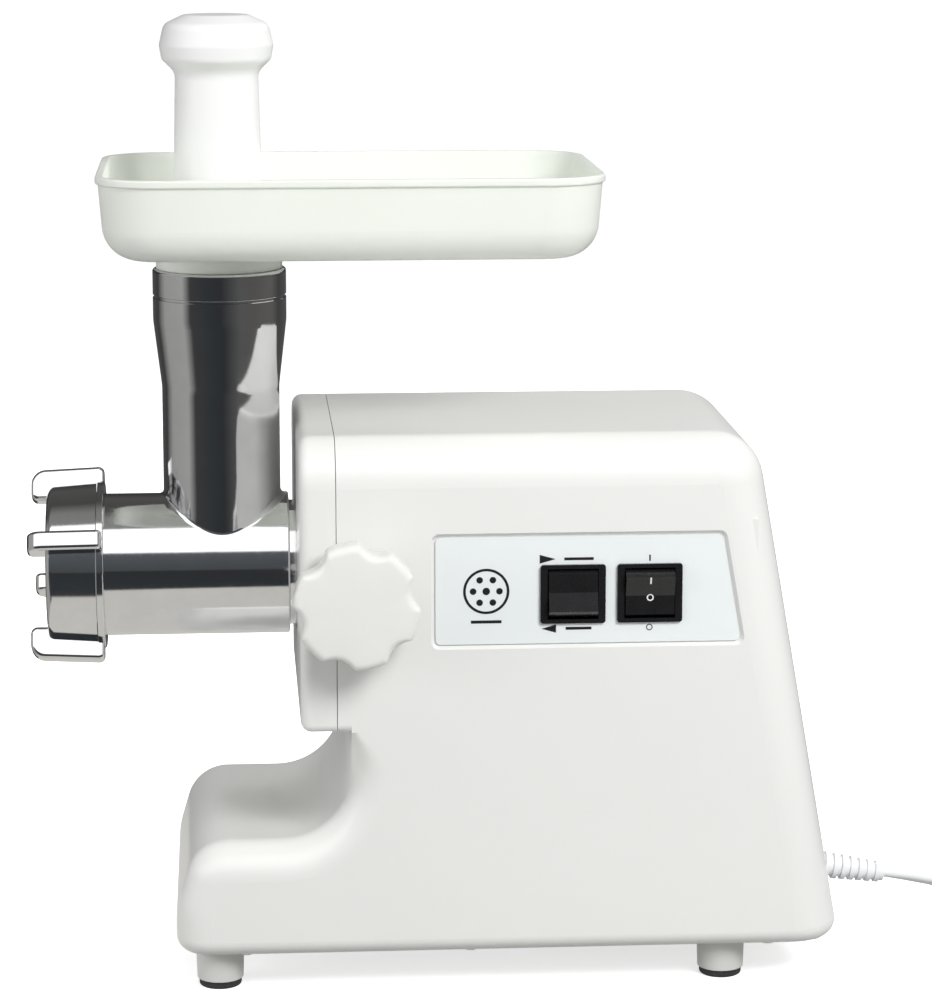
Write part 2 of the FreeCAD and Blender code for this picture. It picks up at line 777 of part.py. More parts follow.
stack_rear_x = motor_x + stack_length
motor_y, motor_z = motor_axis
stator_bore = armature_radius + air_gap
stator_outline = (
    (motor_y - 34, motor_z - 29, 6), (motor_y + 34, motor_z - 29, 6),
    (motor_y + 34, motor_z + 29, 6), (motor_y - 34, motor_z + 29, 6),
)
stator = plate_from(stator_outline, lambda y, z: Vector(motor_x, y, z), (stack_length, 0, 0))
stator = stator.cut(rod_x(stator_bore, motor_x - 1, stack_rear_x + 1, *motor_axis))
coil_window = 11.0
for side in (-1, 1):
    low, high = sorted((motor_y + side * 17, motor_y + side * 27))
    window = box(motor_x - 1, stack_rear_x + 1, low, high,
                 motor_z - coil_window, motor_z + coil_window)
    stator = stator.cut(window)
screw_holes = [(motor_y + side * 29.5, motor_z + side * 23.5) for side in (-1, 1)]
for y, z in screw_holes:
    stator = stator.cut(rod_x(2.1, motor_x - 1, stack_rear_x + 1, y, z))
save("stator_stack", stator)


def field_coil(side):
    """A racetrack winding: two legs in the stack's windows and an end turn at each end."""
    legs = []
    for across in (-1, 1):
        low_y, high_y = sorted((motor_y + across * 21.0, motor_y + across * 26.5))
        low_z, high_z = sorted((motor_z + side * 1.0, motor_z + side * 10.5))
        legs.append(box(motor_x - 5, stack_rear_x + 5, low_y, high_y, low_z, high_z))
    for low_x in (motor_x - 5, stack_rear_x + 1):
        low_z, high_z = sorted((motor_z + side * 1.0, motor_z + side * 24.0))
        legs.append(box(low_x, low_x + 4, motor_y - 25.0, motor_y + 25.0, low_z, high_z))
    shape = fuse_all(legs)
    return shape.cut(rod_x(stator_bore + 0.5, motor_x - 9, stack_rear_x + 9, *motor_axis))


save("field_coils", field_coil(1), field_coil(-1))

# Rotor: shaft, slotted armature with its winding, commutator, cooling fan and drive pinion
bearing_front_x = throat_x + 148.5
bearing_rear_x = throat_x + 231.0
bearing_width = 7.0
bearing_radius = 11.0
rotor_shaft = rod_x(motor_shaft_radius, first_wheel_x - 0.5, bearing_rear_x + bearing_width + 1,
                    *motor_axis)
save("rotor_shaft", rotor_shaft)
pinion_x = first_wheel_x - 0.5
pinion = involute_gear(stages[0][0], stages[0][1], shift, backlash, stages[0][3] + 1.5,
                       pinion_x, *motor_axis, pinion_phase(motor_axis, first_axis))
save("motor_pinion", pinion.cut(rotor_shaft))
armature = rod_x(armature_radius, motor_x, stack_rear_x, *motor_axis)
armature_slots = 12
winding_parts = []
for index in range(armature_slots):
    angle = 2 * math.pi * index / armature_slots
    y = motor_y + 14.5 * math.sin(angle)
    z = motor_z + 14.5 * math.cos(angle)
    armature = armature.cut(rod_x(2.6, motor_x - 1, stack_rear_x + 1, y, z))
    winding_parts.append(rod_x(2.2, motor_x - 1.5, stack_rear_x + 1.5, y, z))
armature = armature.cut(rotor_shaft)
save("armature_core", armature)
for low_x in (motor_x - 4.5, stack_rear_x + 0.5):
    winding_parts.append(ring_x(17.0, 6.5, low_x, low_x + 4, *motor_axis))
save("armature_winding", fuse_all(winding_parts))
commutator_x = stack_rear_x + 7.0
commutator_length = 13.0
commutator_radius = 11.0
commutator = rod_x(commutator_radius, commutator_x, commutator_x + commutator_length, *motor_axis)
for index in range(armature_slots * 2):
    angle = math.pi * index / armature_slots
    groove = box(commutator_x + 1.5, commutator_x + commutator_length + 1, motor_y - 0.3,
                 motor_y + 0.3, motor_z + commutator_radius - 1, motor_z + commutator_radius + 1)
    groove.rotate(Vector(0, motor_y, motor_z), Vector(1, 0, 0), math.degrees(angle))
    commutator = commutator.cut(groove)
save("commutator", commutator.cut(rotor_shaft))
fan_x = throat_x + 157.0
fan = rod_x(24.0, fan_x, fan_x + 1.2, *motor_axis).fuse(
    rod_x(7.0, fan_x, fan_x + 5.0, *motor_axis)
)
for index in range(12):
    blade = box(fan_x + 1.0, fan_x + 5.0, motor_y - 0.6, motor_y + 0.6, motor_z + 9, motor_z + 24)
    blade.rotate(Vector(0, motor_y, motor_z), Vector(1, 0, 0), 30 * index)
    fan = fan.fuse(blade)
save("cooling_fan", fan.cut(rotor_shaft))


def bracket(low_x, high_x, seat_x):
    """An end plate with two legs to the stack and a raised seat for a ball bearing."""
    plate = plate_from(
        ((motor_y - 35, motor_z - 30, 6), (motor_y + 35, motor_z - 30, 6),
         (motor_y + 35, motor_z + 30, 6), (motor_y - 35, motor_z + 30, 6)),
        lambda y, z: Vector(low_x, y, z),
        (high_x - low_x, 0, 0),
    )
    seat = rod_x(bearing_radius + 2.5, seat_x, seat_x + bearing_width, *motor_axis)
    shape = plate.fuse(seat)
    shape = shape.cut(rod_x(bearing_radius, low_x - 20, high_x + 20, *motor_axis))
    for angle in (0, 90, 180, 270):
        turn = math.radians(angle + 45)
        y = motor_y + 24 * math.sin(turn)
        z = motor_z + 24 * math.cos(turn)
        if angle % 180 == 90:
            shape = shape.cut(rod_x(6.5, low_x - 1, high_x + 1, y, z))
    return shape


def spacers(low_x, high_x):
    return [rod_x(4.0, low_x, high_x, y, z) for y, z in screw_holes]


front_plate_x = case_rear_x + 1.0
front_bracket = bracket(front_plate_x, front_plate_x + 3.5, bearing_front_x)
front_bracket = fuse_all([front_bracket] + spacers(front_plate_x, motor_x))
rear_plate_x = throat_x + 232.0
rear_bracket = bracket(rear_plate_x, rear_plate_x + 3.5, bearing_rear_x)
rear_bracket = fuse_all([rear_bracket] + spacers(stack_rear_x, rear_plate_x + 3.5))
motor_screws = []
for y, z in screw_holes:
    hole = rod_x(2.1, front_plate_x - 2, rear_plate_x + 10, y, z)
    front_bracket = front_bracket.cut(hole)
    rear_bracket = rear_bracket.cut(hole)
    motor_screws.append(screw(2.0, 4.0, 2.5, (rear_plate_x + 6, y, z), (case_rear_x + 0.2, y, z)))
save("motor_bracket_front", front_bracket)
save("motor_bracket_rear", rear_bracket)
save("motor_screws", *motor_screws)
bearings = []
for x in (bearing_front_x, bearing_rear_x):
    bearings.append(
        ring_x(bearing_radius, motor_shaft_radius + running_fit, x, x + bearing_width,
               *motor_axis)
    )
save("motor_bearings", *bearings)



def wire_spring(radius, wire_radius, pitch, turns, start, steps=10):
    """A helical spring along Y, drawn as short straight wires with mitred joints."""
    points = []
    for index in range(int(steps * turns) + 1):
        angle = 2 * math.pi * index / steps
        offset = Vector(radius * math.cos(angle), pitch * index / steps, radius * math.sin(angle))
        points.append(start + offset)
    along = (points[1] - points[0]).normalize()
    across = along.cross(Vector(0, 1, 0)).normalize()
    above = along.cross(across)
    corners = []
    for index in range(7):
        angle = math.pi * index / 3
        corners.append(points[0] + (across * math.cos(angle) + above * math.sin(angle)) * wire_radius)
    path = Part.makePolygon(points)
    return path.makePipeShell([Part.makePolygon(corners)], True, True, 1)


# Brush gear on both sides of the commutator
brush_x = commutator_x + 3.0
brush_width = 7.0
holders = []
brushes = []
springs = []
for side in (-1, 1):
    def along(near_r, far_r, half_z, low_x, high_x):
        low, high = sorted((motor_y + side * near_r, motor_y + side * far_r))
        return box(low_x, high_x, low, high, motor_z - half_z, motor_z + half_z)

    holder = along(13.0, 33.0, 5.6, brush_x - 1.6, brush_x + brush_width + 1.6)
    arm = along(26.0, 32.0, 5.6, brush_x + brush_width, rear_plate_x)
    holder = holder.fuse(arm)
    holder = holder.cut(along(12.0, 31.5, 4.0, brush_x, brush_x + brush_width))
    holders.append(holder)
    brushes.append(along(commutator_radius + 0.05, 23.0, 3.9, brush_x + 0.1,
                         brush_x + brush_width - 0.1))
    spring_start = Vector(brush_x + brush_width / 2, motor_y + side * 27.2 - 3.7, motor_z)
    springs.append(wire_spring(2.6, 0.38, 1.65, 4.5, spring_start))
save("brush_holders", *holders)
save("carbon_brushes", *brushes)
save("brush_springs", *springs)
save("thermal_cutout", box(motor_x + 8, motor_x + 28, motor_y - 6, motor_y + 6,
                           motor_z + 29, motor_z + 35))

# ---- Grinding head ---------------------------------------------------------------------------

throat_profile = (
    (0, barrel_z, 0), (25.7, barrel_z, 0), (25.6, 255.0, 20), (29.0, 284.0, 20),
    (29.0, 293.8, 0), (28.4, 294.2, 0), (28.4, 295.0, 0), (29.0, 295.4, 0),
    (29.0, throat_rim_z, 1.2), (0, throat_rim_z, 0),
)
throat = turned_z(throat_profile, throat_x, mid_y)
barrel = rod_x(barrel_radius, nut_rear_x - 2.0, barrel_rear_x)
barrel = barrel.makeFillet(0.8, edges_where(barrel, lambda p: near(p.x, barrel_rear_x)))
barrel = barrel.fuse(rod_x(barrel_radius - 0.4, barrel_front_x, nut_rear_x)).removeSplitter()
head = barrel.fuse(throat)
saddle = [
    edge for edge in head.Edges
    if barrel_z + 5 < middle_of(edge).z < barrel_z + 40
    and near(math.hypot(middle_of(edge).y - mid_y, middle_of(edge).z - barrel_z), barrel_radius)
    and math.hypot(middle_of(edge).x - throat_x, middle_of(edge).y - mid_y) < 26.0
]
head = head.makeFillet(saddle_radius, saddle)
head = head.fuse(rod_x(shank_radius, barrel_rear_x - 3, shank_rear_x))
head = head.cut(rod_x(bore_radius, barrel_front_x + 4, bore_rear_x))
head = head.cut(rod_x(plate_radius + clearance, barrel_front_x - 1, barrel_front_x + 4))
head = head.cut(rod_x(10.0, bore_rear_x - 1, shank_rear_x + 1))
head = head.cut(rod_z(throat_bore, barrel_z, throat_rim_z, throat_x, mid_y))
head = head.cut(rod_z(cup_radius, throat_rim_z - 22, throat_rim_z + 1, throat_x, mid_y))
key_x = barrel_front_x + 2.0
key_low_z = barrel_z + plate_radius - 2.0
key_pin = rod_z(1.6, key_low_z, barrel_z + barrel_radius - 0.6, key_x, mid_y)
save("head_casting", head.cut(key_pin))
save("plate_key_pin", key_pin)
save("screw_bush", ring_x(10.0, 8.0 + running_fit, bore_rear_x + 0.3, shank_rear_x))

# Feed screw: a tapering core with one flight, a square tail and a square nose for the blade
blade_thick = 5.0
blade_rear_x = plate_front_x + plate_thick + clearance + blade_thick
flight_pitch = 30.0
flight_turns = 3.6
flight_radius = bore_radius - clearance - 0.1
core = turned_x(
    ((blade_rear_x, 0, 0), (blade_rear_x, 15.0, 0), (bore_rear_x - 4, 10.0, 0),
     (bore_rear_x - 4, 15.0, 0), (bore_rear_x - 0.4, 15.0, 0), (bore_rear_x - 0.4, 8.0, 0),
     (shank_rear_x + 0.5, 8.0, 0), (shank_rear_x + 0.5, 0, 0))
)
tail = box(shank_rear_x, coupling_x + 9.5, mid_y - square_side / 2, mid_y + square_side / 2,
           barrel_z - square_side / 2, barrel_z + square_side / 2)
tail = tail.common(rod_x(8.0, shank_rear_x, coupling_x + 9.5))
blade_square = 9.0
nose = box(blade_rear_x - blade_thick, blade_rear_x + 1, mid_y - blade_square / 2,
           mid_y + blade_square / 2, barrel_z - blade_square / 2, barrel_z + blade_square / 2)
stub_radius = 3.9
stub = rod_x(stub_radius, plate_front_x - 0.3, blade_rear_x)
helix = Part.makeHelix(flight_pitch, flight_pitch * flight_turns, 17.0)
flight_wire = Part.makePolygon([
    Vector(6.0, 0, 0), Vector(flight_radius, 0, 1.2), Vector(flight_radius, 0, 4.2),
    Vector(6.0, 0, 7.0), Vector(6.0, 0, 0),
])
flight = Part.Wire(helix.Edges).makePipeShell([flight_wire], True, True)
flight.rotate(Vector(0, 0, 0), Vector(0, 1, 0), 90)
flight.translate(Vector(blade_rear_x, mid_y, barrel_z))
trim = ring_x(flight_radius, 3.0, blade_rear_x + 0.3, bore_rear_x - 1)
flight = flight.common(trim)
feed_screw = core.multiFuse([tail, nose, stub, flight])
save("feed_screw", feed_screw)

# Cross blade: four swept arms with a square hole
blade = rod_x(10.0, blade_rear_x - blade_thick, blade_rear_x - 0.05)
for index in range(4):
    arm = plate_from(
        ((-4.5, 5.0, 0), (4.5, 5.0, 0), (2.6, 24.0, 1.2), (-3.4, 24.0, 1.2)),
        lambda y, z: Vector(blade_rear_x - blade_thick, mid_y + y, barrel_z + z),
        (blade_thick - 0.05, 0, 0),
    )
    arm.rotate(Vector(0, mid_y, barrel_z), Vector(1, 0, 0), 90 * index + 20)
    blade = blade.fuse(arm)
blade = blade.cut(nose)
save("cross_blade", blade.removeSplitter())

# Hole plate: rings of holes, and a notch that fits over the key pin
plate = rod_x(plate_radius, plate_front_x, plate_front_x + plate_thick)
plate = plate.cut(rod_x(stub_radius + clearance, plate_front_x - 1, plate_front_x + 8))
hole_radius = 2.3
for ring_radius, count in ((8.6, 7), (14.4, 13), (20.3, 19)):
    for index in range(count):
        angle = 2 * math.pi * index / count
        y = mid_y + ring_radius * math.sin(angle)
        z = barrel_z + ring_radius * math.cos(angle)
        plate = plate.cut(rod_x(hole_radius, plate_front_x - 1, plate_front_x + 8, y, z))
notch = box(key_x - 2.2, plate_front_x + plate_thick + 1, mid_y - 2.0, mid_y + 2.0,
            key_low_z - 0.5, barrel_z + plate_radius + 1)
save("hole_plate", plate.cut(notch))

# Ring nut: a tapering ring with a lip that holds the plate, and four cast fins
lip_inner = 23.5
nut_bore = barrel_radius + 0.35
nut_profile = (
    (nut_front_x, lip_inner, 0.8), (nut_front_x, nut_radius - 2.0, 3.0),
    (nut_rear_x - 3.4, nut_radius - 0.5, 0), (nut_rear_x - 3.0, nut_radius, 0),
    (nut_rear_x, nut_radius, 0.5), (nut_rear_x, nut_bore, 0),
    (plate_front_x - clearance, nut_bore, 0), (plate_front_x - clearance, lip_inner, 0),
)
nut = turned_x(nut_profile)
fin_tip_x = nut_front_x - 7.6
fin_low = nut_radius - 3.5
fin_root = nut_radius - 8.0
for index in range(4):
    fin = plate_from(
        ((nut_rear_x - 0.4, fin_low, 0), (nut_rear_x - 0.4, fin_radius, 2.6),
         (fin_tip_x, fin_radius - 1.5, 6.5), (fin_tip_x, fin_root, 3.0),
         (nut_front_x + 1.5, fin_root, 0), (nut_front_x + 1.5, fin_low, 0)),
        lambda x, r: Vector(x, mid_y - fin_thick / 2, barrel_z + r),
        (0, fin_thick, 0),
    )
    long_edges = edges_where(
        fin, lambda p: near(abs(p.y - mid_y), fin_thick / 2) and p.x < nut_rear_x - 0.5
        and (p.z > barrel_z + fin_low + 0.1 or p.x < nut_front_x)
    )
    fin = fin.makeFillet(1.8, long_edges)
    fin.rotate(Vector(0, mid_y, barrel_z), Vector(1, 0, 0), 90 - fin_phase + 90 * index)
    nut = nut.fuse(fin)
save("ring_nut", nut)

# ---- Tray and pusher ---------------------------------------------------------------------------


def tray_shape(margin, low_z, high_z, bottom_radius):
    """A rounded dish with slightly opening sides."""
    draft = 2.6
    wires = []
    for z, inward in ((low_z, margin + draft), (high_z, margin)):
        half_length = tray_length / 2 - inward
        half_width = tray_width / 2 - inward
        corners = (
            (tray_centre_x - half_length, mid_y - half_width, 26 - margin),
            (tray_centre_x + half_length, mid_y - half_width, 26 - margin),
            (tray_centre_x + half_length, mid_y + half_width, 26 - margin),
            (tray_centre_x - half_length, mid_y + half_width, 26 - margin),
        )
        wires.append(rounded_wire(corners, lambda x, y, z=z: Vector(x, y, z)))
    dish = Part.makeLoft(wires, True, True)
    rim = edges_where(dish, lambda p: near(p.z, low_z))
    return dish.makeFillet(bottom_radius, rim)


dish_outside = tray_shape(1.0, tray_floor_z, tray_rim_z, 15.0)
dish_inside = tray_shape(1.0 + tray_wall, tray_floor_z + tray_wall, tray_rim_z + 0.01, 13.0)
lip_outside = rounded_box(tray_centre_x - tray_length / 2, tray_centre_x + tray_length / 2,
                          mid_y - tray_width / 2, mid_y + tray_width / 2,
                          tray_rim_z - 3.4, tray_rim_z, 26.5)
lip_outside = lip_outside.makeFillet(
    0.9, edges_where(lip_outside, lambda p: near(p.z, tray_rim_z) or near(p.z, tray_rim_z - 3.4))
)
spigot_low_z = throat_rim_z - 20.0
spigot_radius = cup_radius - clearance
spigot = rod_z(spigot_radius, spigot_low_z, tray_floor_z + 1, throat_x, mid_y)
collar = rod_z(27.4, throat_rim_z + clearance, tray_floor_z + 1, throat_x, mid_y)
tray = fuse_all([dish_outside, lip_outside]).cut(dish_inside)
tray = fuse_all([tray, spigot, collar])
tray = tray.cut(rod_z(throat_bore, spigot_low_z - 1, tray_rim_z, throat_x, mid_y))
save("food_tray", tray)

pusher_profile = (
    (0, pusher_low_z, 0), (20.4, pusher_low_z, 1.5), (20.4, 330.0, 0), (18.9, 349.0, 30),
    (17.9, 391.0, 6), (23.6, 396.5, 3.5), (24.6, 402.5, 3.0), (22.5, pusher_top_z - 4.0, 5.0),
    (14.0, pusher_top_z, 4.0), (0, pusher_top_z, 0),
)
pusher = turned_z(pusher_profile, throat_x, mid_y)
pusher_core = turned_z(
    ((0, pusher_low_z + 3, 0), (17.8, pusher_low_z + 3, 2), (16.2, 349.0, 10),
     (15.4, 389.0, 4), (19.0, 399.0, 3), (19.0, pusher_top_z - 7, 4), (0, pusher_top_z - 3, 0)),
    throat_x, mid_y,
)
save("food_pusher", pusher.cut(pusher_core))

# ---- Power cord --------------------------------------------------------------------------------

cord_route = [
    Vector(208.0, 11.5, 26.8),
    Vector(236.0, 11.5, 22.4),
    Vector(264.0, 10.5, 12.4),
    Vector(290.0, 7.0, 3.8),
    Vector(312.0, 3.4, 3.3),
]


def tube_along(route, diameter, share=0.45):
    """A round tube along straight runs that are joined by the largest arcs that fit."""
    edges = []
    radii = []
    at = route[0]
    for before, corner, after in zip(route, route[1:], route[2:]):
        back = before - corner
        ahead = after - corner
        reach = share * min(back.Length, ahead.Length)
        half_turn = (math.pi - back.getAngle(ahead)) / 2
        radius = reach / math.tan(half_turn)
        back.normalize()
        ahead.normalize()
        start = corner + back * reach
        end = corner + ahead * reach
        inward = (back + ahead).normalize()
        middle = corner + inward * (radius / math.cos(half_turn) - radius)
        edges.append(Part.LineSegment(at, start).toShape())
        edges.append(Part.Arc(start, middle, end).toShape())
        radii.append(radius)
        at = end
    edges.append(Part.LineSegment(at, route[-1]).toShape())
    path = Part.Wire(edges)
    normal = route[1] - route[0]
    section = Part.Wire(Part.makeCircle(diameter / 2, route[0], normal))
    tube = path.makePipeShell([section], True, True)
    expected = math.pi * diameter ** 2 / 4 * path.Length
    return tube, radii, path.Length, tube.Volume / expected


coil_low = coil_turn_radius - coil_half_band
coil_high = coil_turn_radius + coil_half_band
coil = turned_z(
    ((coil_low, 0, 2.5), (coil_high, 0, 2.5), (coil_high, coil_height, 3), (coil_low, coil_height, 3)),
    coil_x, coil_y,
)
cord, cord_radii, cord_length, volume_ratio = tube_along(cord_route, cord_diameter)
print("cord radii", [round(r, 1) for r in cord_radii], "length", round(cord_length, 1),
      "volume ratio", round(volume_ratio, 4))
save("power_cord", cord.cut(coil))
save("cord_coil", coil)

# Strain relief: a flange inside the wall, a plug in it and a drooping ribbed sleeve
relief_tip = cord_route[0]
relief_way = cord_route[1] - cord_route[0]
relief_way.normalize()
relief_length = 36.0
relief_start = relief_tip - relief_way * relief_length


def relief_cone(near_radius, far_radius, near_at, far_at):
    start = relief_start + relief_way * near_at
    return Part.makeCone(near_radius, far_radius, far_at - near_at, start, relief_way)


relief_parts = [relief_cone(5.2, 3.9, 0, relief_length)]
rib_count = 8
for index in range(rib_count):
    at = 4.5 + index * 3.9
    radius = 6.4 - 0.22 * index
    relief_parts.append(relief_cone(radius, radius - 0.1, at, at + 2.0))
grommet = rod_x(6.9, rear_bottom_x - 9, relief_start.x + 3, mid_y, cord_z)
grommet = grommet.fuse(rod_x(9.0, rear_bottom_x - 12.4, rear_bottom_x - 9, mid_y, cord_z))
relief = fuse_all(relief_parts + [grommet])
save("strain_relief", relief)

# Cord clamp on the base plate, inside the back wall
clamp_x = rear_bottom_x - 34.0
clamp = box(clamp_x - 6, clamp_x + 6, mid_y - 14, mid_y + 14, cord_z + 3.2, cord_z + 8)
clamp_seat = box(clamp_x - 6, clamp_x + 6, mid_y - 14, mid_y + 14, base_z + 2.8, cord_z - 3.2)
for side in (-1, 1):
    y = mid_y + side * 10
    hole = rod_z(1.6, base_z + 5, cord_z + 9, clamp_x, y)
    clamp = clamp.cut(hole)
    clamp_seat = clamp_seat.cut(hole)
    base_screws.append(
        screw(1.45, 3.2, 1.6, (clamp_x, y, cord_z + 9.6), (clamp_x, y, base_z + 6))
    )
save("cord_clamp", clamp, clamp_seat)
save("base_screws", *base_screws)

# Leads: the cord's inner end, then single wires to the switches and the brush gear
lead_low_y = side_y + 12
lead_routes = (
    (6.0, ((rear_bottom_x - 12.4, mid_y, cord_z), (clamp_x - 12, mid_y, cord_z),
           (clamp_x - 22, mid_y - 3, cord_z + 1))),
    (2.4, ((clamp_x - 22, mid_y - 3, cord_z + 1), (clamp_x - 32, mid_y - 32, 42),
           (power_x + 12, lead_low_y + 6, 80), (power_x + 3, lead_low_y + 10, 140),
           (power_x + 2, lead_low_y + 13.5, switch_z - 7.2))),
    (2.4, ((power_x, side_y + 24, switch_z + 8), (power_x - 10, side_y + 24, switch_z + 22),
           (direction_x + 8, side_y + 24, switch_z + 22),
           (direction_x, side_y + 24, switch_z + 8))),
)
leads = [tube_along([Vector(*p) for p in route], size)[0] for size, route in lead_routes]
save("inner_leads", *leads)

# Plug: a moulded body lying on the coil, with two flat blades
plug_z = coil_height + 8.0
plug_y = coil_y - 31.0
plug_rear_x = coil_x - 14.0
plug_length = 34.0
plug_body = plate_from(
    ((plug_rear_x, -6.5, 2.5), (plug_rear_x + 10, -9.5, 5), (plug_rear_x + 15, -12.5, 5),
     (plug_rear_x + plug_length, -12.5, 2), (plug_rear_x + plug_length, 12.5, 2),
     (plug_rear_x + 15, 12.5, 5), (plug_rear_x + 10, 9.5, 5), (plug_rear_x, 6.5, 2.5)),
    lambda x, y: Vector(x, plug_y + y, plug_z - 8),
    (0, 0, 16),
)
plug_body = plug_body.makeFillet(
    2.0,
    edges_where(plug_body, lambda p: near(abs(p.z - plug_z), 8)),
)
save("plug_body", plug_body)
pins = []
for side in (-1, 1):
    y = plug_y + side * 6.35
    pin = box(plug_rear_x + plug_length, plug_rear_x + plug_length + 17, y - 0.75, y + 0.75,
              plug_z - 3.2, plug_z + 3.2)
    pins.append(pin)
save("plug_pins", *pins)
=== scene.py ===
import math

import bpy
import numpy as np
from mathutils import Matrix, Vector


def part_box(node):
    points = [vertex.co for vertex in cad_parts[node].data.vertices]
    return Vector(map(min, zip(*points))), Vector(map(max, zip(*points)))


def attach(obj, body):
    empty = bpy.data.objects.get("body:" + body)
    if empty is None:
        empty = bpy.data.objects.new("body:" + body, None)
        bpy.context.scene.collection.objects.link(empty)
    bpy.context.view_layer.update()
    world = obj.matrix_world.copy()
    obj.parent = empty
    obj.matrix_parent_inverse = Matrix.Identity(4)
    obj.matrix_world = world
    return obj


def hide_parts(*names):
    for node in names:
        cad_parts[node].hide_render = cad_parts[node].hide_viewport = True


# An electric meat grinder: a white moulded motor housing, a polished grinding head with its feed
# throat, a dish-shaped tray and a pusher. The frame holds every working piece at its real size;
# this script gives each piece its finish and adds the flex, the plug, the knob and the markings.
# The row frame is in metres: +Z up, feed end towards -X, controls facing -Y, cord towards +X.
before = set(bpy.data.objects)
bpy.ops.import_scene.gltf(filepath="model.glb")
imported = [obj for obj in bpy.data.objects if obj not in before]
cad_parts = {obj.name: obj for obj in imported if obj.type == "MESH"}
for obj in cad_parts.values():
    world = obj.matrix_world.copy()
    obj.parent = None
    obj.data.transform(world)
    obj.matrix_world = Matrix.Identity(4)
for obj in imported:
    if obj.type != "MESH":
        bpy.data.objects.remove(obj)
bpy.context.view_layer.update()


# ---- Camera and studio ------------------------------------------------------------------------
# The grinder stands on a seamless white sheet. A softbox lights its front and another its left,
# a weak one behind lifts the roof, and a dark room round it draws the bands in bright metal.
scene = bpy.context.scene
scene.view_settings.view_transform = "Standard"

camera_place = (-0.08783, -1.45816, 0.48320)
camera_tilt = math.radians(79.2)      # from straight down
camera_turn = math.radians(-4.1)      # about the upright axis
camera_lens = 122.04
camera = bpy.data.objects.new("camera", bpy.data.cameras.new("camera"))
scene.collection.objects.link(camera)
camera.location = camera_place
camera.rotation_euler = (camera_tilt, 0, camera_turn)
camera.data.lens = camera_lens
scene.camera = camera


def node_of(tree, kind, *inputs, **settings):
    """A shader node with its settings made, and its inputs set or linked in the order given.

    Each input is (socket name or number, value); a value that is a socket is linked.
    """
    made = tree.nodes.new(kind)
    for key, value in settings.items():
        setattr(made, key, value)
    for socket, value in inputs:
        if isinstance(value, bpy.types.NodeSocket):
            tree.links.new(value, made.inputs[socket])
        else:
            made.inputs[socket].default_value = value
    return made


def ranged(tree, value, low, high, ends=(0.0, 1.0)):
    """A value taken from the span low to high onto the span between the ends, and held there."""
    made = node_of(
        tree, "ShaderNodeMapRange", (0, value), ("From Min", low), ("From Max", high),
        ("To Min", ends[0]), ("To Max", ends[1]),
    )
    return made.outputs[0]


def mixed(tree, share, first, second):
    """A colour that goes from the first to the second as the share goes from 0 to 1."""
    made = node_of(tree, "ShaderNodeMix", (0, share), (6, first), (7, second), data_type="RGBA")
    return made.outputs[2]


def graded(tree, value, stops):
    """A colour read from a ramp whose stops are (position, colour)."""
    made = node_of(tree, "ShaderNodeValToRGB", (0, value))
    elements = made.color_ramp.elements
    elements.remove(elements[1])
    elements[0].position = stops[0][0]
    elements[0].color = (*stops[0][1], 1)
    for position, colour in stops[1:]:
        elements.new(position).color = (*colour, 1)
    return made.outputs[0]


def direction_round(tree, rise, run):
    """The angle of the direction whose sides are rise and run, from -pi to pi."""
    made = node_of(tree, "ShaderNodeMath", (0, rise), (1, run), operation="ARCTAN2")
    return made.outputs[0]


def disc(name, radius, z, sides=96):
    """A flat disc: one ring of points at the radius, filled by a single face that looks up."""
    angle = np.arange(sides) * 2 * math.pi / sides
    rim = np.stack([radius * np.cos(angle), radius * np.sin(angle), np.full(sides, z)], axis=1)
    mesh = bpy.data.meshes.new(name)
    mesh.from_pydata(rim.tolist(), [], [list(range(sides))])
    made = bpy.data.objects.new(name, mesh)
    scene.collection.objects.link(made)
    return made


# The paper looks white to the camera, but throws only a dull light back up at the machine.
paper_seen = 0.86
paper_thrown = 0.36
paper_glow = 0.66
sheet_paper = bpy.data.materials.new("white paper")
sheet_paper.use_nodes = True
paper_tree = sheet_paper.node_tree
paper_shader = paper_tree.nodes["Principled BSDF"]
paper_shader.inputs["Roughness"].default_value = 1.0
paper_shader.inputs["Specular IOR Level"].default_value = 0.0
paper_shader.inputs["Emission Color"].default_value = (1, 1, 1, 1)
to_camera = node_of(paper_tree, "ShaderNodeLightPath").outputs["Is Camera Ray"]
paper_tree.links.new(
    ranged(paper_tree, to_camera, 0, 1, (0, paper_glow)), paper_shader.inputs["Emission Strength"]
)
paper_tree.links.new(
    ranged(paper_tree, to_camera, 0, 1, (paper_thrown, paper_seen)),
    paper_shader.inputs["Base Color"],
)
floor = disc("floor", 30.0, 0.0)
floor.data.materials.append(sheet_paper)
floor.visible_glossy = False

# What the bright metal sees of the table: white paper close by, then a dark room in front, a
# pale wall to the left and a dim one to the right. Only reflections show this board. Its ramp
# runs once round the machine, from the front by the left, the back and the right to the front.
paper_edge = (0.32, 0.35)      # where the paper ends, as distance from the middle
paper_tone = (0.63, 0.62, 0.58, 1)
room_stops = (
    (0.00, (0.03, 0.033, 0.036)),
    (0.07, (0.035, 0.04, 0.045)),
    (0.15, (0.05, 0.05, 0.05)),
    (0.19, (0.38, 0.38, 0.37)),
    (0.30, (0.34, 0.34, 0.33)),
    (0.36, (0.05, 0.05, 0.05)),
    (0.50, (0.10, 0.10, 0.10)),
    (0.66, (0.06, 0.06, 0.06)),
    (0.72, (0.12, 0.118, 0.11)),
    (0.84, (0.10, 0.098, 0.092)),
    (0.91, (0.10, 0.10, 0.10)),
    (1.00, (0.03, 0.033, 0.036)),
)
board_finish = bpy.data.materials.new("table in reflections")
board_finish.use_nodes = True
board_tree = board_finish.node_tree
board_tree.nodes.clear()
board_place = node_of(board_tree, "ShaderNodeTexCoord").outputs["Object"]
board_axes = node_of(board_tree, "ShaderNodeSeparateXYZ", (0, board_place))
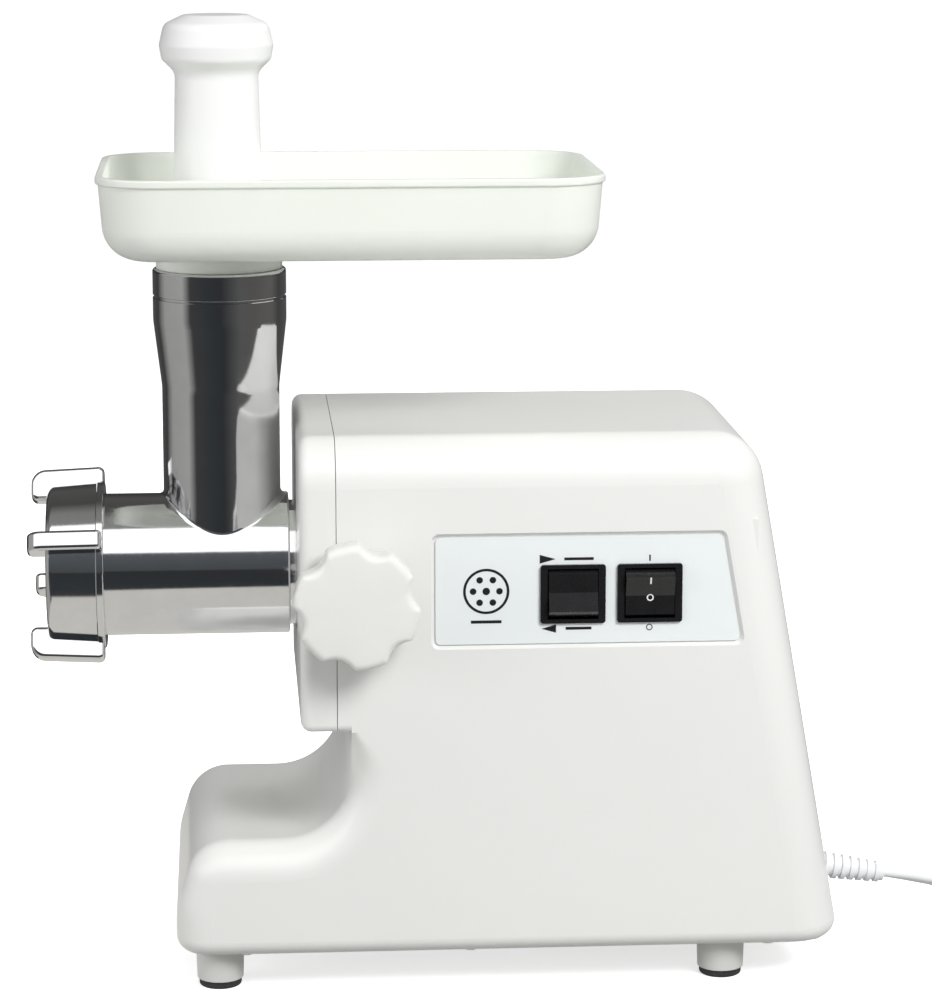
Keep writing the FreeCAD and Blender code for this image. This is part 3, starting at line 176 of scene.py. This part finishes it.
board_side = direction_round(board_tree, board_axes.outputs["X"], board_axes.outputs["Y"])
board_room = graded(
    board_tree, ranged(board_tree, board_side, -math.pi, math.pi), room_stops
)
board_reach = node_of(board_tree, "ShaderNodeVectorMath", (0, board_place), operation="LENGTH")
past_paper = ranged(board_tree, board_reach.outputs["Value"], *paper_edge)
board_light = node_of(
    board_tree, "ShaderNodeEmission", (0, mixed(board_tree, past_paper, paper_tone, board_room))
)
node_of(board_tree, "ShaderNodeOutputMaterial", (0, board_light.outputs[0]))
board = disc("table_in_reflections", 6.0, 0.0004)
board.data.materials.append(board_finish)
board.visible_camera = False
board.visible_diffuse = False
board.visible_shadow = False
board.visible_transmission = False

# The room: plain white behind the paper, a soft grey fill on every surface, and in reflections a
# dark room. Its ramp goes over the barrel from the back to the front, with one bright strip
# above the front, and the room's left and right ends are plain walls.
fill_tone = (0.46, 0.46, 0.46, 1)
left_wall_tone = (0.38, 0.38, 0.37, 1)
right_wall_tone = (0.11, 0.108, 0.10, 1)
arch_stops = (
    (0.00, (0.03, 0.03, 0.03)),
    (0.10, (0.05, 0.05, 0.05)),
    (0.20, (0.09, 0.088, 0.085)),
    (0.40, (0.07, 0.069, 0.067)),
    (0.50, (0.23, 0.228, 0.22)),
    (0.605, (0.25, 0.25, 0.245)),
    (0.62, (1.6, 1.6, 1.6)),
    (0.83, (1.6, 1.6, 1.6)),
    (0.845, (0.10, 0.11, 0.12)),
    (1.00, (0.07, 0.075, 0.08)),
)
world = bpy.data.worlds.new("studio")
scene.world = world
world.use_nodes = True
room = world.node_tree
room.nodes.clear()
ray = node_of(room, "ShaderNodeLightPath")
way = node_of(room, "ShaderNodeTexCoord").outputs["Generated"]
axes = node_of(room, "ShaderNodeSeparateXYZ", (0, way))
over = direction_round(room, axes.outputs["Z"], axes.outputs["Y"])
arch = graded(room, ranged(room, over, 0.0, math.pi), arch_stops)
at_left = ranged(room, axes.outputs["X"], -0.80, -0.90)
at_right = ranged(room, axes.outputs["X"], 0.55, 0.70)
with_left = mixed(room, at_left, arch, left_wall_tone)
with_right = mixed(room, at_right, with_left, right_wall_tone)
lit = mixed(room, ray.outputs["Is Glossy Ray"], fill_tone, with_right)
seen = mixed(room, ray.outputs["Is Camera Ray"], lit, (1, 1, 1, 1))
glow = node_of(room, "ShaderNodeBackground", (0, seen))
node_of(room, "ShaderNodeOutputWorld", (0, glow.outputs[0]))


def softbox(name, place, aim, width, height, watts):
    """A rectangular lamp at a place, turned so that its light falls on the aim point.

    Only the plain surfaces see it; bright metal sees the drawn room instead.
    """
    lamp = bpy.data.lights.new(name, "AREA")
    lamp.shape = "RECTANGLE"
    lamp.size = width
    lamp.size_y = height
    lamp.energy = watts
    made = bpy.data.objects.new(name, lamp)
    scene.collection.objects.link(made)
    made.location = place
    way_down = np.array(aim) - np.array(place)
    yaw = math.atan2(way_down[0], -way_down[1])
    pitch = math.atan2(np.hypot(way_down[0], way_down[1]), -way_down[2])
    made.rotation_euler = (pitch, 0, math.pi + yaw)
    made.visible_glossy = False


softbox("front_softbox", (0.66, -1.1, 1.12), (0.0, 0.0, 0.2), 0.7, 0.55, 20.5)
softbox("left_fill", (-1.4, -0.35, 0.42), (-0.05, 0.0, 0.2), 0.9, 0.7, 7.0)
softbox("roof_softbox", (0.6, 1.2, 0.9), (0.08, 0.0, 0.2), 0.9, 0.6, 13.0)


# ---- Power cord -------------------------------------------------------------------------------
# A flat twin flex, 6.2 by 3.9 mm, in white PVC. It leaves the strain relief with its wide side
# nearly level, drops to the table, turns on edge and is wound into a neat coil for storage.
flex_width = 0.0062
flex_thick = 0.0039
cord_route = [
    (0.2080, 0.0115, 0.0268),
    (0.2360, 0.0115, 0.0224),
    (0.2640, 0.0105, 0.0124),
    (0.2900, 0.0070, 0.0038),
    (0.3120, 0.0034, 0.0033),
]
coil_centre = (0.312, 0.042)
points_per_turn = 24
turn_pitch = 0.0046        # the flex stands on edge, so its turns lie close together
outer_turn = 0.0386
lower_turns = 2.45
step_turns = 0.2
upper_turns = 2.1
lower_z = 0.0033
upper_z = 0.0096
tail_route = [
    (0.2752, 0.0340, 0.0106),
    (0.2765, 0.0255, 0.0132),
    (0.2810, 0.0182, 0.0162),
    (0.2880, 0.0130, 0.0190),
    (0.2960, 0.0112, 0.0206),
    (0.3050, 0.0110, 0.0208),
]

all_turns = lower_turns + step_turns + upper_turns
turn = np.arange(1, int(all_turns * points_per_turn) + 1) / points_per_turn
winding_radius = np.interp(
    turn,
    (0, lower_turns, lower_turns + step_turns, all_turns),
    (outer_turn, outer_turn - turn_pitch * lower_turns, outer_turn - turn_pitch * lower_turns,
     outer_turn - turn_pitch * (lower_turns - upper_turns)),
)
winding_angle = turn * 2 * math.pi - math.pi / 2
winding_z = np.interp(turn, (lower_turns, lower_turns + step_turns), (lower_z, upper_z))
winding = np.stack(
    [coil_centre[0] + winding_radius * np.cos(winding_angle),
     coil_centre[1] + winding_radius * np.sin(winding_angle), winding_z], axis=1,
)
cord_points = np.vstack([cord_route, winding, tail_route])


def smooth_line(name, points, resolution):
    """Points along the open NURBS spline of order 3 that takes the given points as controls."""
    line = bpy.data.curves.new(name, "CURVE")
    line.dimensions = "3D"
    spline = line.splines.new("NURBS")
    spline.points.add(len(points) - 1)
    spline.points.foreach_set("co", np.c_[points, np.ones(len(points))].ravel())
    spline.order_u = 3
    spline.use_endpoint_u = True
    spline.resolution_u = resolution
    holder = bpy.data.objects.new(name, line)
    scene.collection.objects.link(holder)
    trace = bpy.data.meshes.new_from_object(holder)
    found = np.zeros(len(trace.vertices) * 3)
    trace.vertices.foreach_get("co", found)
    bpy.data.objects.remove(holder)
    bpy.data.curves.remove(line)
    bpy.data.meshes.remove(trace)
    return found.reshape(-1, 3)


def skin(name, shells, body, finish, sharp=35.0):
    """One piece made of closed shells, each through rings of points.

    A shell is (rings, capped): rings is an array (rings, points, 3) whose neighbours join with
    quads. A capped shell closes on the middle of its first and last ring, and any other shell
    joins its last ring to its first. Each shell is turned outwards by the sign of its volume.
    """
    points = []
    faces = []
    first = 0
    for rings, capped in shells:
        rings = np.asarray(rings, float)
        count, size = rings.shape[:2]
        index = first + np.arange(count * size).reshape(count, size)
        ahead = np.roll(index, -1, axis=1)
        here = slice(0, count - 1) if capped else slice(0, count)
        later = np.roll(index, -1, axis=0)
        later_ahead = np.roll(ahead, -1, axis=0)
        quads = np.stack([index[here], ahead[here], later_ahead[here], later[here]], axis=-1)
        quads = quads.reshape(-1, 4)
        cloud = rings.reshape(-1, 3)
        fans = np.zeros((0, 3), int)
        if capped:
            cloud = np.vstack([cloud, rings[0].mean(axis=0), rings[-1].mean(axis=0)])
            pole = first + count * size
            start = np.stack([ahead[0], index[0], np.full(size, pole)], axis=1)
            end = np.stack([index[-1], ahead[-1], np.full(size, pole + 1)], axis=1)
            fans = np.vstack([start, end])
        corners = np.vstack([quads[:, :3], quads[:, [0, 2, 3]], fans]) - first
        a, b, c = cloud[corners[:, 0]], cloud[corners[:, 1]], cloud[corners[:, 2]]
        if np.sum(a * np.cross(b, c)) < 0:
            quads = quads[:, ::-1]
            fans = fans[:, ::-1]
        points.append(cloud)
        faces += quads.tolist() + fans.tolist()
        first += len(cloud)
    mesh = bpy.data.meshes.new(name)
    mesh.from_pydata(np.vstack(points).tolist(), [], faces)
    mesh.polygons.foreach_set("use_smooth", np.ones(len(mesh.polygons), bool))
    mesh.set_sharp_from_angle(angle=math.radians(sharp))
    mesh.materials.append(finish)
    made = bpy.data.objects.new(name, mesh)
    scene.collection.objects.link(made)
    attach(made, body)
    return made


def surface(name, colour, rough, metal=0.0, mottle=0.03, blotch=35.0, grain=1500.0,
            rough_spread=0.06, bump=0.00001, stretch=(1, 1, 1), lines=None, **sockets):
    """A Principled surface with detail from noise on Object coordinates.

    A broad noise of blotch cycles a metre shifts the colour down by mottle, and a fine noise of
    grain cycles a metre, stretched along the axes, spreads the roughness and lifts the surface
    by bump metres. lines is (direction, spacing, depth): even grooves as tooling or winding
    leaves, as bands along an axis or as rings about it. Other sockets take plain values.
    """
    material = bpy.data.materials.new(name)
    material.use_nodes = True
    tree = material.node_tree
    shader = tree.nodes["Principled BSDF"]
    shader.inputs["Metallic"].default_value = metal
    for key, value in sockets.items():
        shader.inputs[key.replace("_", " ")].default_value = value
    place = node_of(tree, "ShaderNodeTexCoord").outputs["Object"]
    drawn = node_of(tree, "ShaderNodeMapping", (0, place), ("Scale", stretch)).outputs[0]
    broad = node_of(tree, "ShaderNodeTexNoise", ("Vector", place), ("Scale", blotch),
                    ("Detail", 3.0))
    darker = [part * (1 - mottle) for part in colour]
    tones = graded(tree, broad.outputs["Fac"], ((0.3, darker), (0.7, colour)))
    tree.links.new(tones, shader.inputs["Base Color"])
    fine = node_of(tree, "ShaderNodeTexNoise", ("Vector", drawn), ("Scale", grain),
                   ("Detail", 4.0), ("Roughness", 0.6))
    spread = ranged(tree, fine.outputs["Fac"], 0.25, 0.75,
                    (max(rough - rough_spread / 2, 0.02), rough + rough_spread / 2))
    tree.links.new(spread, shader.inputs["Roughness"])
    lifted = node_of(tree, "ShaderNodeBump", ("Height", fine.outputs["Fac"]),
                     ("Distance", bump), ("Strength", 1.0)).outputs[0]
    if lines:
        direction, spacing, depth = lines
        style = "RINGS" if direction.startswith("rings") else "BANDS"
        wave = node_of(tree, "ShaderNodeTexWave", ("Vector", place),
                       ("Scale", math.pi / 10 / spacing), wave_type=style)
        if style == "RINGS":
            wave.rings_direction = direction[-1]
        else:
            wave.bands_direction = direction[-1]
        lifted = node_of(tree, "ShaderNodeBump", ("Height", wave.outputs["Fac"]),
                         ("Distance", depth), ("Strength", 1.0), ("Normal", lifted)).outputs[0]
    tree.links.new(lifted, shader.inputs["Normal"])
    return material


def unit(vectors):
    """Each vector of an array divided by its own length."""
    return vectors / np.linalg.norm(vectors, axis=-1, keepdims=True)


def flex_rings(path, tilt, core_points=12):
    """A flat twin flex along a path: two round cores side by side, joined by a waist.

    The section is two circles of the flex's thickness, each drawn from the waist round to the
    waist. Its wide axis is the level normal of the path turned about the path by tilt.
    """
    radius = flex_thick / 2
    offset = flex_width / 2 - radius
    reach = math.pi - math.acos(offset / radius)
    arc = np.linspace(-reach, reach, core_points + 1)[:-1] + reach / (core_points + 1)
    wide = np.concatenate([offset + radius * np.cos(arc), -offset - radius * np.cos(arc)])
    high = np.concatenate([radius * np.sin(arc), -radius * np.sin(arc)])
    along = unit(np.gradient(path, axis=0))
    level = unit(np.cross(along, (0, 0, 1)))
    upright = np.cross(level, along)
    turned = np.cos(tilt)[:, None] * level + np.sin(tilt)[:, None] * upright
    across = np.cross(along, turned)
    return (path[:, None, :] + wide[None, :, None] * turned[:, None, :]
            + high[None, :, None] * across[:, None, :])


cord_path = smooth_line("cord_line", cord_points, 5)
cord_run = np.concatenate([[0], np.cumsum(np.linalg.norm(np.diff(cord_path, axis=0), axis=1))])
cord_length = float(cord_run[-1])
twist = np.interp(
    cord_run,
    (0, 0.08, cord_length - 0.075, cord_length - 0.01),
    (math.radians(20), math.radians(90), math.radians(90), math.radians(180)),
)
cord_pvc = surface("white flex PVC", (0.86, 0.87, 0.88), 0.38, mottle=0.05, bump=0.00002,
                   Specular_IOR_Level=0.45)
power_flex = skin("power_flex", [(flex_rings(cord_path, twist), True)], "motor_unit",
                  cord_pvc, sharp=60.0)
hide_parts("power_cord", "cord_coil")


def dress(slot, finish):
    """Gives a finish to each piece of the frame that has this material slot."""
    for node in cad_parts.values():
        for holder in node.material_slots:
            if holder.material is not None and holder.material.name == slot:
                holder.material = finish


# ---- Plug -------------------------------------------------------------------------------------
# A moulded two-pin plug in the flex's PVC: a waisted grip that widens to a square shoulder, with
# finger ridges across it. Its two flat brass blades are pressed in during moulding.
plug_low, plug_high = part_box("plug_body")
plug_middle = ((plug_low.y + plug_high.y) / 2, (plug_low.z + plug_high.z) / 2)
plug_length = plug_high.x - plug_low.x
plug_step = np.linspace(0, 1, 61)
plug_half_y = np.interp(
    plug_step, (0, 0.06, 0.25, 0.45, 0.6, 0.94, 1.0),
    (0.0052, 0.0064, 0.0074, 0.0098, 0.0118, 0.0125, 0.0113),
)
plug_half_z = np.interp(
    plug_step, (0, 0.06, 0.25, 0.5, 0.94, 1.0),
    (0.0044, 0.0056, 0.0062, 0.0076, 0.0080, 0.0068),
)
ridge_depth = 0.00045
ridge_count = 12
ridge_start = 0.10             # where the finger ridges start, and how much of the length they take
ridge_share = 0.48
along_ridges = np.clip((plug_step - ridge_start) / ridge_share, 0, 1)
ridge = ridge_depth * np.sin(along_ridges * ridge_count * math.pi) ** 2


def squared(angle, half_width, half_height, power):
    """A superellipse: the sine and cosine of the angle, each raised to 2 over the power."""
    c, s = np.cos(angle), np.sin(angle)
    return (half_width * np.sign(c) * np.abs(c) ** (2 / power),
            half_height * np.sign(s) * np.abs(s) ** (2 / power))


plug_squareness = 4.5
plug_angle = np.linspace(0, 2 * math.pi, 64, endpoint=False)
plug_y, plug_z = squared(plug_angle[None, :], (plug_half_y - ridge)[:, None],
                         (plug_half_z - ridge)[:, None], plug_squareness)
plug_rings = np.stack(
    [np.broadcast_to((plug_low.x + plug_length * plug_step)[:, None], plug_y.shape),
     plug_middle[0] + plug_y, plug_middle[1] + plug_z], axis=-1,
)
moulded_plug = skin("moulded_plug", [(plug_rings, True)], "motor_unit", cord_pvc)
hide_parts("plug_body")
dress("plug_brass", surface("plated brass blade", (0.78, 0.70, 0.52), 0.25, metal=1.0,
                            mottle=0.10, stretch=(0.1, 1, 1), bump=0.000006))
dress("cord_pvc", cord_pvc)


# ---- Housing ----------------------------------------------------------------------------------
# Two injection mouldings in white ABS, the main shell and a front cap that meets it in a fine
# seam behind the nose. The mould is polished, so the shell has a soft gloss.
dress("white_shell", surface(
    "white ABS", (0.82, 0.82, 0.80), 0.30, mottle=0.015, blotch=12.0, grain=900.0,
    rough_spread=0.05, bump=0.000012, Specular_IOR_Level=0.5,
    Coat_Weight=0.15, Coat_Roughness=0.12,
))

# ---- Base and feet ----------------------------------------------------------------------------
# The base plate is a matt moulding screwed up into the shell. Four cups hold dark rubber pads.
dress("base_plastic", surface("matt base plastic", (0.74, 0.74, 0.72), 0.55, mottle=0.04,
                              bump=0.00004))
dress("foot_plastic", surface("foot cup plastic", (0.70, 0.70, 0.68), 0.42, mottle=0.04))
dress("foot_rubber", surface("foot rubber", (0.045, 0.045, 0.048), 0.75, mottle=0.35,
                             blotch=300.0, bump=0.00005))
dress("fastener_steel", surface("zinc plated steel", (0.66, 0.67, 0.68), 0.32, metal=1.0,
                                mottle=0.12, blotch=500.0, bump=0.000015))

# ---- Label and its markings -------------------------------------------------------------------
# A thin printed film sits in a recess of the shell. It carries plain direction arrows, the on
# and off signs, and a round sign of a hole plate, all screened in black.
label_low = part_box("label_plate")[0]
dress("label_film", surface("label film", (0.83, 0.87, 0.87), 0.22, mottle=0.01, blotch=60.0,
                            bump=0.000004, Coat_Weight=0.3, Coat_Roughness=0.08))
ink = surface("screen ink", (0.018, 0.018, 0.02), 0.35, mottle=0.3, blotch=900.0)
ink_back = label_low.y + 0.00003      # just inside the film, so that no gap shows
ink_front = label_low.y - 0.00007


def on_label(outline):
    """A thin plate of ink: an outline of (x, z) points at the label's face, and raised by it."""
    outline = np.asarray(outline, float)
    rings = [np.insert(outline, 1, depth, axis=1) for depth in (ink_back, ink_front)]
    return np.stack(rings), True


def ink_ring(x, z, outer, line, sides=72):
    """A flat ring of ink: four circles, outer back and front, then inner front and back."""
    angle = np.linspace(0, 2 * math.pi, sides, endpoint=False)
    rings = [
        np.stack([x + radius * np.cos(angle), np.full(sides, depth),
                  z + radius * np.sin(angle)], axis=1)
        for radius, depth in ((outer, ink_back), (outer, ink_front),
                              (outer - line, ink_front), (outer - line, ink_back))
    ]
    return np.stack(rings), False


def ink_dot(x, z, radius, sides=24):
    """A round spot of ink."""
    angle = np.linspace(0, 2 * math.pi, sides, endpoint=False)
    return on_label(np.stack([x + radius * np.cos(angle), z + radius * np.sin(angle)], axis=1))


def ink_bar(x, z, width, height):
    """A rectangle of ink about its own middle."""
    half_x = width / 2
    half_z = height / 2
    return on_label([(x - half_x, z - half_z), (x + half_x, z - half_z),
                     (x + half_x, z + half_z), (x - half_x, z + half_z)])


def ink_arrow(x, z, length, height, way):
    """A solid triangle whose point is at +X for a way of 1 and at -X for a way of -1."""
    return on_label([(x - way * length / 2, z - height / 2), (x + way * length / 2, z),
                     (x - way * length / 2, z + height / 2)])


direction_low, direction_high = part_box("direction_switch_body")
power_low, power_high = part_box("power_switch_body")
direction_x = (direction_low.x + direction_high.x) / 2
power_x = (power_low.x + power_high.x) / 2
switch_z = (power_low.z + power_high.z) / 2
sign_gap = 0.0024              # from a switch to the middle of the signs over and under it
above_z = power_high.z + sign_gap
below_z = power_low.z - sign_gap
bar_x = direction_x + 0.0025   # plain bars beside the two direction arrows
bar_height = 0.0012
plate_x = label_low.x + 0.0215
plate_z = switch_z + 0.0015
plate_radius = 0.0098          # the round sign of a hole plate
hole_circle = 0.0056
hole_count = 6
marks = [
    ink_arrow(direction_x - 0.0108, above_z, 0.0068, 0.0038, 1),
    ink_arrow(direction_x - 0.0102, below_z, 0.0062, 0.0036, -1),
    ink_bar(bar_x, above_z, 0.0125, bar_height),
    ink_bar(bar_x, below_z, 0.0110, bar_height),
    ink_bar(power_x, above_z, 0.0007, 0.0026),
    ink_ring(power_x, below_z, 0.0014, 0.0004),
    ink_ring(plate_x, plate_z, plate_radius, 0.0011),
    ink_dot(plate_x, plate_z, 0.0016),
    ink_bar(plate_x, plate_z - plate_radius - 0.0034, 0.0130, 0.0013),
]
for hole in range(hole_count):
    angle = hole * 2 * math.pi / hole_count
    marks.append(ink_dot(plate_x + hole_circle * math.cos(angle),
                         plate_z + hole_circle * math.sin(angle), 0.0014))
skin("label_marks", marks, "motor_unit", ink)

# ---- Switches ---------------------------------------------------------------------------------
# Two snap-in rocker switches in black polyamide. Each rocker's front is a shallow valley, and
# the power rocker has its on and off signs moulded in white.
dress("switch_black", surface("black switch plastic", (0.012, 0.012, 0.013), 0.26, mottle=0.2,
                              blotch=200.0, bump=0.000015, Coat_Weight=0.2, Coat_Roughness=0.15))
sign_white = surface("white sign inlay", (0.85, 0.85, 0.85), 0.4, mottle=0.04)
rocker_swing = math.radians(9)
rocker_pivot_y = power_low.y + 0.0046
rocker_valley = 0.0056     # from the pivot out to the bottom of the valley
inlay = 0.00006            # how far a sign stands out of the rocker, and reaches into it


def on_rocker(outline, depth):
    """An outline of (x, height) points laid on the power rocker's front, raised by depth.

    The valley's faces lean outwards from the middle by the swing, and the whole rocker is
    turned by the same swing, its top outwards.
    """
    outline = np.asarray(outline, float)
    out = -(rocker_valley + depth) - math.tan(rocker_swing) * np.abs(outline[:, 1])
    up = outline[:, 1]
    c, s = math.cos(rocker_swing), math.sin(rocker_swing)
    return np.stack([power_x + outline[:, 0], rocker_pivot_y + out * c - up * s,
                     switch_z + out * s + up * c], axis=1)


on_half = 0.00035
on_low = 0.0056
on_high = 0.0086
on_sign = [(-on_half, on_low), (on_half, on_low), (on_half, on_high), (-on_half, on_high)]
off_middle = np.array([0, -0.0008])
off_outer = 0.0015
off_inner = 0.0010
circle = np.linspace(0, 2 * math.pi, 40, endpoint=False)
loop = np.stack([np.cos(circle), np.sin(circle)], axis=1)
off_sign = [
    on_rocker(off_middle + radius * loop, depth)
    for radius, depth in ((off_outer, -inlay), (off_outer, inlay),
                          (off_inner, inlay), (off_inner, -inlay))
]
rocker_signs = [
    (np.stack([on_rocker(on_sign, -inlay), on_rocker(on_sign, inlay)]), True),
    (np.stack(off_sign), False),
]
skin("power_rocker_signs", rocker_signs, "power_rocker", sign_white)

# ---- Clamp knob -------------------------------------------------------------------------------
# A thick moulded knob with six finger scallops and softly rounded edges. It turns the screw
# that clamps the head's shank in its socket.
knob_low, knob_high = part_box("clamp_knob")
knob_x = (knob_low.x + knob_high.x) / 2
knob_z = 0.175                 # height of the clamp screw's axis
knob_radius = 0.0268
knob_thick = 0.015
knob_count = 6
scallop_phase = math.radians(-47)
scallop_radius = 0.009
scallop_reach = knob_radius + 0.0056
scallop_blend = 0.0011
knob_edge = 0.0036
knob_back_edge = 0.0024
knob_crown = 0.0011
boss_radii = (0.013, 0.011)    # the boss behind the knob, at the knob and at the shell

knob_angle = np.linspace(0, 2 * math.pi, 288, endpoint=False)
spacing = 2 * math.pi / knob_count
offset = (knob_angle - scallop_phase + spacing / 2) % spacing - spacing / 2
chord = np.maximum(scallop_radius ** 2 - (scallop_reach * np.sin(offset)) ** 2, 0)
bite = scallop_reach * np.cos(offset) - np.sqrt(chord)
# The knob's outline is the nearer of the circle and the scallop, blended where they meet.
knob_outline = -scallop_blend * np.log(
    np.exp(-knob_radius / scallop_blend) + np.exp(-bite / scallop_blend)
)
face_share = np.linspace(0.03, 1, 14)
quarter = np.linspace(0, math.pi / 2, 9)[1:]
# Each ring is (share of the outline, distance inside it, depth behind the face).
knob_rings = [(share, knob_edge, knob_crown * share ** 2 * 0.5) for share in face_share]
knob_rings += [(1, knob_edge * (1 - math.sin(a)),
                knob_crown * 0.5 + (knob_edge - knob_crown * 0.5) * (1 - math.cos(a)))
               for a in quarter]
knob_rings += [(1, knob_back_edge * (1 - math.cos(a)),
                knob_thick - knob_back_edge * (1 - math.sin(a))) for a in quarter]
knob_surface = [
    np.stack([knob_x + share * (knob_outline - inside) * np.cos(knob_angle),
              np.full(len(knob_angle), knob_low.y + depth),
              knob_z + share * (knob_outline - inside) * np.sin(knob_angle)], axis=1)
    for share, inside, depth in knob_rings
]
for radius, depth in zip(boss_radii, (knob_thick, knob_high.y - knob_low.y)):
    knob_surface.append(np.stack(
        [knob_x + radius * np.cos(knob_angle), np.full(len(knob_angle), knob_low.y + depth),
         knob_z + radius * np.sin(knob_angle)], axis=1,
    ))
knob_plastic = surface("satin knob plastic", (0.80, 0.80, 0.77), 0.36, mottle=0.02, blotch=40.0,
                       bump=0.00002)
scalloped_knob = skin("scalloped_knob", [(np.stack(knob_surface), True)], "knob",
                      knob_plastic)
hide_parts("clamp_knob")
dress("screw_alloy", surface("turned clamp screw", (0.60, 0.60, 0.60), 0.3, metal=1.0,
                             mottle=0.1, blotch=400.0))

# ---- Grinding head ----------------------------------------------------------------------------
# Barrel, throat and ring nut are aluminium castings, turned where they are round and polished
# all over. The plate, blade and feed screw inside them are plain cutting steel and alloy.
dress("polished_alloy", surface(
    "polished aluminium", (0.80, 0.80, 0.81), 0.09, metal=1.0, mottle=0.06, blotch=90.0,
    grain=700.0, rough_spread=0.05, bump=0.000004,
))
dress("cutter_steel", surface("ground cutter steel", (0.62, 0.62, 0.63), 0.22, metal=1.0,
                              mottle=0.1, blotch=200.0, lines=("ringsX", 0.0006, 0.000006)))
dress("bronze", surface("sintered bronze", (0.55, 0.38, 0.20), 0.4, metal=1.0, mottle=0.2,
                        blotch=700.0, bump=0.00002))

# ---- Tray and pusher --------------------------------------------------------------------------
# The tray is a thin dish of milky polypropylene with a rolled lip, and a spigot under it drops
# into the throat. The pusher is a hollow moulding in a harder, brighter white.
dress("tray_plastic", surface(
    "milky polypropylene", (0.82, 0.855, 0.785), 0.34, mottle=0.025, blotch=18.0, grain=500.0,
    bump=0.00001, Subsurface_Weight=0.25, Subsurface_Scale=0.012,
    Subsurface_Radius=(1.0, 1.1, 0.9),
))
dress("pusher_plastic", surface("bright pusher plastic", (0.87, 0.87, 0.87), 0.30, mottle=0.015,
                                blotch=25.0, bump=0.00001))

# ---- Motor and gears --------------------------------------------------------------------------
# Inside the shell: die-cast brackets and gearbox, nylon and steel gears, a laminated stator with
# enamelled copper windings, and the brush gear with its leads.
dress("cast_alloy", surface("die-cast alloy", (0.50, 0.50, 0.51), 0.5, metal=1.0, mottle=0.15,
                            blotch=120.0, bump=0.00006))
dress("gear_nylon", surface("filled nylon", (0.70, 0.68, 0.58), 0.45, mottle=0.06,
                            blotch=90.0, bump=0.00002))
dress("gear_steel", surface("hobbed gear steel", (0.42, 0.42, 0.43), 0.35, metal=1.0,
                            mottle=0.15, blotch=300.0, bump=0.00002))
dress("lamination_steel", surface("stacked laminations", (0.30, 0.31, 0.33), 0.5, metal=1.0,
                                  mottle=0.15, lines=("bandsX", 0.0005, 0.00008)))
dress("copper_wire", surface("enamelled copper", (0.62, 0.24, 0.09), 0.3, metal=0.9,
                             mottle=0.2, blotch=250.0, lines=("bandsX", 0.0006, 0.00012)))
dress("carbon", surface("brush carbon", (0.03, 0.03, 0.032), 0.6, mottle=0.3, blotch=800.0,
                        bump=0.00004))
dress("spring_steel", surface("spring steel wire", (0.45, 0.46, 0.48), 0.3, metal=1.0,
                              mottle=0.1, blotch=600.0))
dress("lead_wire", surface("wire insulation", (0.10, 0.22, 0.55), 0.4, mottle=0.1,
                           blotch=200.0))
